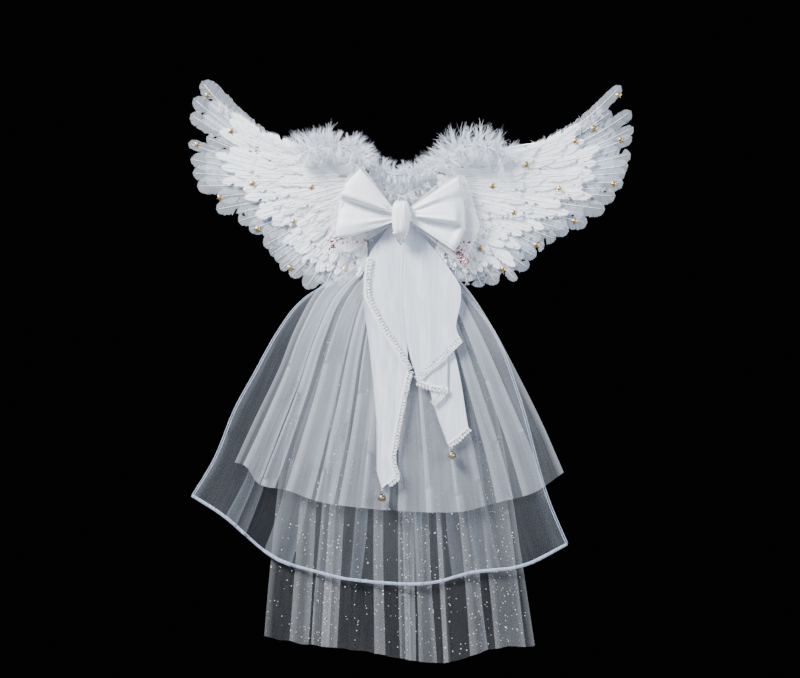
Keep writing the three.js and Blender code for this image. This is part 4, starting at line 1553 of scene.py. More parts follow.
@dataclass
class Bow:
    """The satin bow over a wider sheer bow: four loops, their sequins and the wrapped knot."""

    near: float = 11.0
    knot_left: float = -12.7
    knot_right: float = 10.0
    knot_top: float = 18.5
    knot_end: float = -23.0

    def depth(self, node: str) -> tuple[float, float]:
        """The middle depth of a node and half its thickness."""
        low, high = box_mm(node)
        return float((low[1] + high[1]) / 2), float((high[1] - low[1]) / 2)

    def satin_loops(self) -> None:
        """Makes the two satin loops with their deep folds."""
        middle, half = self.depth("satin_loop_left")
        loops = {
            Side.LEFT: Loop(
                [(-70, -27), (-82, -24), (-79, 4), (-75, 29), (-71, 33), (-70, 40), (-52, 59)],
                (-self.near, -6), (-self.near, 10), middle + 4, half * 1.1, half * 0.5,
                folds=((0.58, 42, 7.0, 2.0), (0.12, 12, 2.6, 2.0)), wrinkle=1.3, seed=3),
            Side.RIGHT: Loop(
                [(65, -42), (72, -30), (78, -14), (78, 6), (76, 22), (73, 38), (70, 51)],
                (self.near, -5), (self.near, 11), middle + 4, half * 1.1, half * 0.5,
                folds=((0.35, 42, 6.0, 0.78), (0.75, 9, 2.4, 2.0)), wrinkle=1.3, seed=8),
        }
        for side, loop in loops.items():
            surface = Surface()
            grid, crease = loop.grid()
            surface.add_grid(grid, mark=crease, across=grid[..., 0], along=grid[..., 2])
            for row in (0, -1):
                surface.add_tube(grid[row], 0.55, sides=5, reference=(0.2, 0.3, 1.0))
            piece = place_piece(surface, f"satin_bow_loop_{side.word}", SATIN, "back_assembly",
                                (f"satin_loop_{side.word}",))

    def sheer_loops(self) -> None:
        """Makes the two wider sheer loops behind, with brighter edges."""
        middle, _ = self.depth("sheer_loop_left")
        loops = {
            Side.LEFT: Loop(
                [(-66, -43), (-90, -44), (-89, -17), (-83, 10), (-78, 30), (-66, 50), (-54, 69)],
                (-self.near, -7), (-self.near, 10), middle, 1.9, 1.9,
                folds=((0.4, 20, 0.5, 2.0), (0.75, 20, 0.5, 2.0)), wrinkle=0.3, seed=5),
            Side.RIGHT: Loop(
                [(76, -60), (88, -36), (96, -12), (92, 5), (88, 20), (76, 52), (44, 40)],
                (self.near, -6), (self.near, 12), middle, 1.9, 1.9,
                folds=((0.3, 20, 0.5, 2.0), (0.62, 20, 0.5, 2.0)), wrinkle=0.3, seed=6),
        }
        for side, loop in loops.items():
            surface = Surface()
            grid, crease = loop.grid()
            rim = np.exp(-np.abs(np.arange(loop.rows) - loop.rows / 2) / 1.6)[None, :]
            surface.add_grid(grid, mark=np.maximum(crease * 0.5, rim),
                             across=grid[..., 0], along=grid[..., 2])
            for row in (0, -1):
                surface.add_tube(grid[row], 0.5, sides=5, reference=(0.2, 0.3, 1.0), mark=1.0)
            piece = place_piece(surface, f"sheer_bow_loop_{side.word}", SHEER, "back_assembly",
                                (f"sheer_loop_{side.word}",))

    def sequins(self) -> None:
        """Sews clusters of pale pink sequins and small beads to the sheer loops' lower corners."""
        places = {
            Side.LEFT: [((-76, -27), (-89, -27), 16), ((-87, -27), (-85, -42), 16),
                        ((-30, -30), (-74, -27), 12)],
            Side.RIGHT: [((66, -36), (79, -60), 46), ((70, -40), (77, -58), 34),
                         ((72, -34), (84, -33), 10)],
        }
        for side, lines in places.items():
            random = np.random.default_rng(40 + side.value)
            low, high = box_mm(f"sequin_trim_{side.word}")
            surface = Surface()
            for start, end, count in lines:
                for share in random.uniform(0, 1, count):
                    spot = lerp(np.array(start), np.array(end), share) + random.normal(0, 2.9, 2)
                    y = high[1] - random.uniform(0.2, 1.4)
                    bead(surface, np.array([spot[0], y, spot[1]]), random.uniform(1.0, 1.7),
                         random.uniform(0, 3), random.uniform(0, 1))
            place_piece(surface, f"pink_sequins_{side.word}", PINK, "back_assembly",
                        (f"sequin_trim_{side.word}",))

    def knot(self) -> None:
        """Makes the wrapped knot with its upright gathers, and the little tail and beads below: silver
        sparkles, and darker beads of painted shadow.
        """
        low, high = box_mm("bow_knot")
        rows, sides = 44, 96
        centre = (self.knot_left + self.knot_right) / 2
        half = (self.knot_right - self.knot_left) / 2
        middle, thick = (low[1] + high[1]) / 2, (high[1] - low[1]) / 2
        share = np.linspace(0, 1, rows)[:, None]
        angle = np.linspace(0, 2 * math.pi, sides, endpoint=False)[None, :]
        end = np.sqrt(np.clip(1 - np.abs(2 * share - 1) ** 5.0, 0, 1))
        waist = 1 - 0.1 * (2 * share - 1) ** 2 - 0.08 * share
        gathers = 1 + 0.022 * np.sin(angle * 9 + 2.2 * share) + 0.02 * np.sin(angle * 14 - 3 * share)
        cross_x = np.sign(np.cos(angle)) * np.abs(np.cos(angle)) ** 0.8
        cross_y = np.sign(np.sin(angle)) * np.abs(np.sin(angle)) ** 0.8
        reach = lerp(0.3, 1.0, end) * waist * gathers
        grid = np.stack([
            np.broadcast_to(centre + half * cross_x * reach, (rows, sides)),
            np.broadcast_to(middle + thick * 0.98 * cross_y * reach, (rows, sides)),
            np.broadcast_to(lerp(self.knot_top, self.knot_end, share)
                            + 1.6 * np.cos(angle) ** 2 * (1 - 2 * share), (rows, sides)),
        ], axis=-1)
        surface = Surface()
        surface.add_grid(grid, ring=True, across=grid[..., 0], along=grid[..., 2])
        for shift, lean, length in ((-6.0, -1.0, 13.0), (4.5, 1.4, 12.0), (-1.0, 0.1, 14.0)):
            steps = np.linspace(0, 1, 14)
            spine = np.stack([centre + shift * (1 - 0.75 * steps) + lean * steps,
                              middle - thick * 0.5 + thick * 1.2 * steps,
                              self.knot_end + 4 - length * steps], axis=-1)
            surface.add_tube(spine, lerp(4.6, 1.0, steps**0.8), sides=12, flat=0.45)
        piece = place_piece(surface, "satin_bow_knot", SATIN, "back_assembly", ("bow_knot",))
        random = np.random.default_rng(12)
        sparkles = Surface()
        for share in np.linspace(0, 1, 26):
            for lean in (-1, 1):
                x = centre + lean * lerp(7.5, 0.5, share) + random.normal(0, 0.4)
                z = self.knot_end + lerp(1.0, -12.0, share)
                y = middle - thick * lerp(0.8, 0.0, share) - 0.3
                # Beads under the knot: the darker tones are painted shadow.
                bead(sparkles, np.array([x, y, z]), random.uniform(0.35, 0.7), random.uniform(0, 3),
                     random.uniform(0, 1))
        place_piece(sparkles, "knot_sparkles", SPARKLE_AND_SHADOW_BEADS, "back_assembly")

    def build(self) -> None:
        """Builds the sheer bow, the satin bow over it, the sequins and the knot."""
        self.knot()
        self.sheer_loops()
        self.satin_loops()
        self.sequins()


@dataclass
class Lace:
    """Scalloped lace sewn along an edge, with a bead on each scallop."""

    width: float = 6.6
    scallop: float = 4.2
    seed: int = 17

    def sew(self, surface: Surface, beads: Surface, path: np.ndarray, outward: float) -> None:
        """Adds the lace along an edge.

        Args:
            surface: the lace's surface.
            beads: the surface for its beads.
            path: the edge's points.
            outward: 1 or -1, the side of the path that the scallops stand on.
        """
        random = np.random.default_rng(self.seed)
        length = np.linalg.norm(np.diff(path, axis=0), axis=1).sum()
        count = max(12, int(length / 0.55))
        line = along_line(path, count, smooth=False)
        ahead = unit(np.gradient(line, axis=0))
        side = np.stack([-ahead[:, 2], np.zeros(count), ahead[:, 0]], axis=-1) * outward
        travel = np.linspace(0, length, count)
        wave = np.abs(np.sin(math.pi * travel / self.scallop))
        reach = self.width * (0.62 + 0.38 * wave) * (1 + 0.1 * ripple(travel / 6, self.seed))
        steps = np.linspace(-0.35, 1, 9)
        out = side[:, None, :] * (reach[:, None] * steps)[..., None]
        grid = line[:, None, :] + out
        ruffle = 1.1 * np.sin(travel * 1.5)[:, None] * np.clip(steps, 0, 1)
        grid[..., 1] -= 0.9 + ruffle + 0.3 * ripple(travel / 2.1, self.seed + 1)[:, None] * steps
        mark = np.broadcast_to((steps > 0.85) | (steps < 0.05), grid.shape[:2]).astype(float)
        surface.add_grid(grid, along=np.broadcast_to(travel[:, None], grid.shape[:2]),
                         across=np.broadcast_to(steps * self.width, grid.shape[:2]), mark=mark)
        for lift, size in ((0.98, 0.34), (0.1, 0.42)):
            cord = line + side * (reach * lift)[:, None]
            cord[:, 1] = grid[:, 7 if lift > 0.5 else 2, 1] - 0.15
            surface.add_tube(cord, size, sides=5, reference=(0, 1, 0), mark=1.0)
        for spot in np.arange(self.scallop / 2, length, self.scallop * 0.5):
            number = int(spot / length * (count - 1))
            place = grid[number, random.integers(2, 8)] + np.array([0, -0.5, 0])
            # Lace beads: the darker tones are painted shadow among the threads.
            bead(beads, place, random.uniform(0.4, 0.85), random.uniform(0, 3), random.uniform(0, 1))


@dataclass
class Sash:
    """The two hanging sash tails, folded back on themselves, with lace on their cut edges."""

    top: float = -2.0
    rows: int = 120

    LEFT_LACE = [(-9, -2), (-36, -38), (-42, -50), (-45.5, -75), (-45, -99), (-26, -136), (-5, -168),
                 (8, -190), (-1, -228), (-14, -299), (-8, -322), (-25, -336)]
    LEFT_FOLD = [(4, -2), (3, -60), (4, -100), (6, -150), (8, -190)]
    LEFT_REAR = [(-9, -2), (-38, -38), (-47, -72), (-48, -104), (-40, -160), (-31, -252),
                 (-31, -315), (-25, -336)]
    RIGHT_OUTER = [(10, -4), (24, -20), (72, -85), (67, -135), (74, -153)]
    RIGHT_INNER = [(-2, -6), (3, -26), (2, -98), (7, -160), (19, -203)]
    RIGHT_SECOND = [(8, -8), (40, -90), (56, -160), (57, -213)]
    RIGHT_THIRD = [(0, -8), (14, -120), (39, -233)]
    RIGHT_REAR_LEFT = [(0, -8), (16, -120), (38, -226), (57, -282)]
    RIGHT_REAR = [(9, -6), (24, -40), (67, -175), (82, -260)]

    def line(self, points: list, y: float, fall: float = 0.0) -> np.ndarray:
        """An edge as evenly spaced points at one depth, easing back by a fall towards its end.

        Args:
            points: the edge's (x, z) corners.
            y: its depth at the top.
            fall: how far it eases back.

        Returns:
            The points, one a row.
        """
        flat = along_line(points, self.rows, smooth=False)
        flat = lerp(flat, along_line(points, self.rows), 0.7)
        depth = y + fall * np.linspace(0, 1, self.rows)
        return np.stack([flat[:, 0], depth, flat[:, 1]], axis=-1)

    def soften(self, grid: np.ndarray, seed: int, height: float = 0.5) -> np.ndarray:
        """Adds soft hanging folds to a grid of rows down by columns across.

        Args:
            grid: the points, changed in place.
            seed: which folds to give.
            height: how deep they are.

        Returns:
            The same grid.
        """
        fold = ripple(grid[..., 0] / 8.5 + grid[..., 2] / 120, seed, 4)
        small = ripple(grid[..., 0] / 4.6 - grid[..., 2] / 55, seed + 1, 3)
        across = ripple(grid[..., 2] / 24 + grid[..., 0] / 30, seed + 2, 3)
        hang = ease(-(grid[..., 2]) / 40)
        grid[..., 1] -= height * hang * (fold + 0.2 * small + 0.3 * across)
        return grid

    def left_tail(self, front: float, rear: float) -> Surface:
        """Makes the left tail: a wide rear flap and a front flap folded over it.

        Args:
            front: the front flap's depth.
            rear: the rear flap's depth.

        Returns:
            The tail's surface.
        """
        surface = Surface()
        heights = np.linspace(self.top, -190, 90)
        share = np.linspace(0, 1, 34)
        lace, fold = edge_at(self.LEFT_LACE, heights), edge_at(self.LEFT_FOLD, heights)
        flap = np.stack([
            lerp(lace[:, None], fold[:, None], share[None, :]),
            np.broadcast_to(front + 1.6 * share[None, :] ** 6, (90, 34)),
            np.broadcast_to(heights[:, None], (90, 34)),
        ], axis=-1)
        surface.add_grid(self.soften(flap, 21, 1.3), along=flap[..., 2], across=flap[..., 0])
        heights = np.linspace(self.top, -336, self.rows)
        right = np.maximum(edge_at(self.LEFT_FOLD + [(8, -190.5), (-60, -336)], heights),
                           np.where(heights < -190, edge_at(self.LEFT_LACE, heights), -99))
        left = edge_at(self.LEFT_REAR, heights)
        back = np.stack([
            lerp(left[:, None], right[:, None], share[None, :]),
            np.broadcast_to(rear - 1.4 * share[None, :] ** 6, (self.rows, 34)),
            np.broadcast_to(heights[:, None], (self.rows, 34)),
        ], axis=-1)
        surface.add_grid(self.soften(back, 27, 1.2), along=back[..., 2], across=back[..., 0])
        edge = back[:, 0]
        surface.add_tube(edge, 0.45, sides=5, reference=(0.1, 1, 0.1))
        return surface

    def right_tail(self, front: float, rear: float) -> Surface:
        """Makes the right tail: a cascade of three folds over a longer rear flap.

        Args:
            front: the first fold's depth.
            rear: the rear flap's depth.

        Returns:
            The tail's surface.
        """
        surface = Surface()
        depths = np.linspace(front, rear, 5)
        lines = np.array([
            self.line(self.RIGHT_OUTER, depths[0]), self.line(self.RIGHT_INNER, depths[1] - 0.4),
            self.line(self.RIGHT_SECOND, depths[2] - 0.4), self.line(self.RIGHT_THIRD, depths[3] - 0.3),
        ])
        grid, crease = fold_sheet(lines, 26, 0.3)
        surface.add_grid(self.soften(grid, 33, 1.0), mark=crease,
                         along=grid[..., 2], across=grid[..., 0])
        left, right = self.line(self.RIGHT_REAR_LEFT, depths[4]), self.line(self.RIGHT_REAR, depths[4])
        share = np.linspace(0, 1, 30)[None, :, None]
        back = lerp(left[:, None, :], right[:, None, :], share)
        surface.add_grid(self.soften(back, 39, 0.8), along=back[..., 2], across=back[..., 0])
        surface.add_tube(left, 0.5, sides=5, reference=(0.1, 1, 0.1))
        return surface

    def build(self) -> None:
        """Builds both tails and sews the lace to their cut edges."""
        for side, make in ((Side.LEFT, self.left_tail), (Side.RIGHT, self.right_tail)):
            low, high = box_mm(f"sash_tail_{side.word}")
            # The tails use the satin copy with painted shade.
            tail = place_piece(make(low[1] + 0.6, high[1] - 0.5), f"satin_sash_{side.word}",
                               SHADED_SASH_SATIN, "back_assembly", (f"sash_tail_{side.word}",))
            lace, beads = Surface(), Surface()
            trim = Lace(seed=17 + side.value)
            front = box_mm(f"lace_trim_{side.word}")[0][1] + 0.4
            if side is Side.LEFT:
                upper = [(x, front + 0.3, z) for x, z in self.LEFT_LACE[2:8]]
                lower = [(x, front + 1.8, z) for x, z in (*self.LEFT_LACE[7:-1], (-18, -330))]
                trim.sew(lace, beads, np.array(upper), 1)
                trim.sew(lace, beads, np.array(lower), 1)
            else:
                hems = (((74, -153), (19, -203), 0.4), ((19, -203), (57, -213), 1.3),
                        ((57, -213), (39, -233), 2.2), ((57, -281), (82, -260), 3.6))
                for start, end, back in hems:
                    middle = (np.array(start) + end) / 2 + np.array([0.0, -1.5])
                    path = [(x, front + back, z) for x, z in (start, middle, end)]
                    trim.sew(lace, beads, np.array(path), -1)
            lace_piece = place_piece(lace, f"scalloped_lace_{side.word}", LACE, "back_assembly",
                                     (f"lace_trim_{side.word}",))
            # The lace beads carry painted shadow in their darker tones.
            bead_piece = place_piece(beads, f"lace_sparkles_{side.word}", SPARKLE_AND_SHADOW_BEADS, "back_assembly")
        for side in Side:
            for node, finish in (("bell_ring", STEEL), ("bell_shell", BELL), ("bell_pellet", STEEL)):
                dress_node(f"{node}_{side.word}", finish)


# Train


EDGE_HOLD = 2.2
SHEET_RUN = 300


def patch(left: np.ndarray, right: np.ndarray, top: np.ndarray, hem: np.ndarray,
          shares: np.ndarray, down: np.ndarray) -> np.ndarray:
    """Fills a four-sided outline with points.

    Args:
        left: the left edge from top to hem, as (x, z) points.
        right: the right edge from top to hem.
        top: the top edge from left to right.
        hem: the hem from left to right.
        shares: how far from left to right each point is, as rows by columns.
        down: how far down each row is.

    Returns:
        The (x, z) points, as rows by columns by two.
    """
    def read(line: np.ndarray, place: np.ndarray) -> np.ndarray:
        """Reads an evenly spaced line at shares of its length."""
        spot = np.clip(place, 0, 1) * (len(line) - 1)
        return np.stack([np.interp(spot, np.arange(len(line)), line[:, k]) for k in (0, 1)], axis=-1)

    f, v = shares[..., None], np.broadcast_to(down[:, None], shares.shape)[..., None]
    ends = (1 - v) * read(top, shares) + v * read(hem, shares)
    bow_left = read(left, v[..., 0]) - ((1 - v) * left[0] + v * left[-1])
    bow_right = read(right, v[..., 0]) - ((1 - v) * right[0] + v * right[-1])
    return ends + (1 - f) ** EDGE_HOLD * bow_left + f**EDGE_HOLD * bow_right


@dataclass
class PleatedLayer:
    """One layer of the train: a wide sheet gathered at its top and folded flat into pleats."""

    node: str
    name: str
    finish: Finish
    left: list
    right: list
    hem: list
    folds: list
    seed: int
    spread: float = 1.6
    sway: float = 0.004
    dense: float = 1.0
    rows: int = 110
    columns: int = 6
    lift: float = 0.0

    def grid(self) -> tuple[np.ndarray, np.ndarray, np.ndarray, np.ndarray]:
        """The folded sheet.

        Returns:
            Its points, each point's closeness to a fold, its density, and its share across.
        """
        down = np.linspace(0, 1, self.rows)
        middle = middle_depth(self.node)
        shares, depths, creases = [], [], []
        lines = []
        for number, share in enumerate(self.folds):
            wander = self.sway * ripple(down * 5 + number, self.seed + number, 3) * down
            lines.append(np.clip(share + wander, 0, 1))
        level = [self.spread * (1 if number % 2 == 0 else -1) for number in range(len(lines))]
        step = np.linspace(0, 1, self.columns + 1)
        for number in range(len(lines) - 1):
            part = step if number == len(lines) - 2 else step[:-1]
            shares.append(lerp(lines[number][:, None], lines[number + 1][:, None], part[None, :]))
            bend = lerp(level[number], level[number + 1], ease(part))
            depths.append(np.broadcast_to(bend, (self.rows, len(part))))
            width = np.abs(lines[number + 1] - lines[number])[:, None] * SHEET_RUN
            width = width * lerp(0.3, 1.0, down)[:, None]
            away = np.minimum(part, 1 - part)[None, :] * width
            creases.append(np.exp(-away / 1.1))
        share, depth, crease = (np.concatenate(x, axis=1) for x in (shares, depths, creases))
        top = along_line([self.left[0], self.right[0]], 40, smooth=False)
        flat = patch(along_line(self.left, 80), along_line(self.right, 80), top,
                     along_line(self.hem, 80), share, down)
        flutter = 0.5 * ripple(share * 60 + down[:, None] * 3, self.seed + 70, 4)
        flutter = flutter * ease(down * 3)[:, None]
        open_up = lerp(0.55, 1.0, ease(down * 1.6))[:, None]
        y = middle - depth * open_up - flutter
        droop = self.lift * ripple(share[-1] * 40, self.seed + 5)[None, :] * down[:, None] ** 6
        grid = np.stack([flat[..., 0], y, flat[..., 1] + droop], axis=-1)
        density = np.broadcast_to((self.dense * np.exp(-down * 3.2))[:, None], share.shape)
        return grid, crease, density, share

    def build(self, surface: Surface) -> np.ndarray:
        """Adds the layer to a surface and returns its points.

        Args:
            surface: the surface to add to.

        Returns:
            The points, as rows by columns by three.
        """
        grid, crease, density, share = self.grid()
        run = np.cumsum(np.r_[0, np.abs(np.diff(share[-1])) * SHEET_RUN])
        surface.add_grid(grid, mark=crease, tone=density,
                         across=np.broadcast_to(run[None, :], share.shape),
                         along=-grid[..., 2])
        return grid


def knife_pleats(first: float, last: float, count: int, overlap: float, seed: int) -> list:
    """The shares across at which a sheet folds, forwards and back, for a row of knife pleats.

    Args:
        first: the share where the pleats start.
        last: the share where they end.
        count: how many pleats there are.
        overlap: how far each turns back under itself, as a share of its width.
        seed: which of the possible uneven rows to give.

    Returns:
        The folds' shares in the order that the cloth runs.
    """
    random = np.random.default_rng(seed)
    edges = np.cumsum(np.r_[0, random.uniform(0.6, 1.4, count)])
    edges = lerp(first, last, edges / edges[-1])
    folds = [first]
    for start, end in zip(edges[:-2], edges[1:-1]):
        back = overlap * (end - start) * random.uniform(0.5, 1.5)
        folds += [end + 0.35 * back, end - 0.65 * back]
    return [*folds, last]


@dataclass
class Train:
    """The three sheer layers that hang from the waist tape, their hem and their glitter dots."""

    spangles: int = 1700

    def layers(self) -> tuple[PleatedLayer, PleatedLayer, PleatedLayer]:
        """The glitter, organza and top layers, from the back to the front.

        Returns:
            The three layers.
        """
        glitter = PleatedLayer(
            "glitter_tulle", "glitter_tulle_layer", GLITTER_TULLE,
            [(-38, -36), (-62, -62), (-96, -104), (-128, -200), (-150, -300), (-164, -430),
             (-172, -522)],
            [(36, -36), (58, -70), (78, -104), (108, -200), (130, -300), (149, -422), (166, -535)],
            [(-172, -522), (-121, -532), (-47, -541), (4, -551), (57, -555), (117, -537), (166, -535)],
            [0.0, 0.16, 0.09, 0.27, 0.18, 0.24, 0.21, 0.44, 0.4, 0.56, 0.5, 0.54, 0.52, 0.63, 0.57, 0.68,
             0.66, 0.83, 0.76, 0.97, 0.86, 1.0],
            seed=51, sway=0.008, dense=1.0, lift=1.6)
        organza = PleatedLayer(
            "organza_overlay", "organza_layer", ORGANZA,
            [(-38, -38), (-66, -66), (-122, -100), (-154, -139), (-186, -196), (-210, -240), (-234, -299),
             (-262, -346)],
            [(36, -38), (56, -66), (84, -100), (120, -150), (150, -232), (178, -334), (208, -405)],
            [(-262, -346), (-220, -373), (-162, -422), (-110, -440), (-55, -452), (30, -456), (86, -442),
             (150, -434), (208, -405)],
            [0.16, 0.0, 0.13, 0.1, 0.3, 0.22, 0.47, 0.44, 0.63, 0.6, 0.82, 0.76, 1.0, 0.7],
            seed=63, sway=0.006, dense=1.5)
        tulle = PleatedLayer(
            "top_tulle", "top_tulle_layer", TULLE,
            [(-38, -46), (-66, -62), (-104, -88), (-132, -136), (-154, -190), (-182, -248), (-209, -304)],
            [(36, -46), (56, -64), (84, -92), (116, -142), (157, -220), (180, -266), (201, -317)],
            [(-209, -304), (-193, -310), (-177, -332), (-140, -340), (-101, -354), (-40, -362),
             (20, -366), (72, -366), (120, -354), (164, -342), (201, -317)],
            knife_pleats(0.0, 1.0, 12, 0.8, 83), seed=77, spread=1.0, sway=0.003, dense=3.2, lift=0.5)
        return glitter, organza, tulle

    def scatter(self, grid: np.ndarray) -> None:
        """Scatters small glitter dots over the rear layer, thicker towards its hem; some dots are
        near-black, painted dark reflections.

        Args:
            grid: the rear layer's points.
        """
        random = np.random.default_rng(91)
        surface = Surface()
        rows, columns = grid.shape[:2]
        row = (rows - 2) * random.uniform(0.05, 1, self.spangles) ** 0.62
        run = np.cumsum(np.r_[0, np.abs(np.diff(grid[-1, :, 0]))])
        column = np.interp(random.uniform(0, run[-1] * 0.999, self.spangles), run, np.arange(columns))
        column = np.minimum(column, columns - 1.01)
        lift = random.choice([-0.35, -2.4], self.spangles, p=[0.7, 0.3])
        # Painted dark reflections: the lowest tones give near-black dots.
        glitter_and_dark_reflection_tones = random.choice([0.02, 0.1, 0.55, 0.85, 1.0], self.spangles,
                              p=[0.12, 0.1, 0.23, 0.3, 0.25])
        sizes = random.uniform(0.34, 0.66, self.spangles)
        sizes[random.uniform(0, 1, self.spangles) < 0.07] *= 1.6
        points, tones = [], []
        for r, c, y, tone, size in zip(row, column, lift, glitter_and_dark_reflection_tones, sizes):
            i, j = int(r), int(c)
            place = lerp(lerp(grid[i, j], grid[i + 1, j], r - i), grid[i, j + 1], (c - j) * 0.5)
            angle = random.uniform(0, 1) + np.arange(6) * math.pi / 3
            tilt = random.normal(0, 0.35)
            ring = np.stack([np.cos(angle), tilt * np.cos(angle), np.sin(angle)], axis=-1) * size
            points.append(place + ring + np.array([0, min(y, -0.3), 0]))
            tones.append(np.full(6, tone))
        index = np.arange(self.spangles * 6).reshape(-1, 6)
        surface.add(np.array(points), [index], tone=np.array(tones))
        place_piece(surface, "glitter_tulle_dots", GLITTER, "back_assembly")

    def hem(self, grid: np.ndarray) -> bpy.types.Object:
        """Binds the organza's hem and side edges with a rolled satin strip.

        Args:
            grid: the organza's points.

        Returns:
            The hem's piece.
        """
        surface = Surface()
        stations = 420
        bottom = along_line(grid[-1], stations, smooth=False)
        roll = 1.9 + 0.25 * ripple(np.arange(stations) / 9.0, 7)
        surface.add_tube(bottom, roll, sides=10, flat=0.42, tone=0.6)
        outer = (int(np.argmin(grid[-1, :, 0])), int(np.argmax(grid[-1, :, 0])))
        for column, inset in zip(outer, (2.6, -2.6)):
            for shift in (0.0, inset):
                edge = along_line(grid[8:, column] + np.array([shift, 0.0, 0.0]), 120, smooth=False)
                surface.add_tube(edge, 0.55, sides=6, flat=0.5, reference=(0, 1, 0), tone=0.6)
        return place_piece(surface, "organza_rolled_hem", HEM_SATIN, "back_assembly", ("organza_hem",))

    def build(self) -> None:
        """Builds the three layers, then the hem and the dots."""
        glitter, organza, tulle = self.layers()
        for layer in (glitter, organza, tulle):
            surface = Surface()
            grid = layer.build(surface)
            piece = place_piece(surface, layer.name, layer.finish, "back_assembly", (layer.node,))
            trims = []
            if layer is organza:
                trims = [self.hem(grid)]
            if layer is glitter:
                self.scatter(grid)


# Back assembly


def rounded_outline(width: float, height: float, corner: float, count: int = 24) -> np.ndarray:
    """The (x, z) points round a rounded rectangle about the origin.

    Args:
        width: its width.
        height: its height.
        corner: its corners' radius.
        count: about how many points.

    Returns:
        The points, one a row.
    """
    turn = np.linspace(0, math.pi / 2, count // 4 + 1)
    points = []
    for quarter, (sx, sz) in enumerate(((1, 1), (-1, 1), (-1, -1), (1, -1))):
        angle = turn + quarter * math.pi / 2
        centre = np.array([sx * (width / 2 - corner), sz * (height / 2 - corner)])
        points.append(centre + corner * np.stack([np.cos(angle), np.sin(angle)], axis=-1))
    return np.concatenate(points)


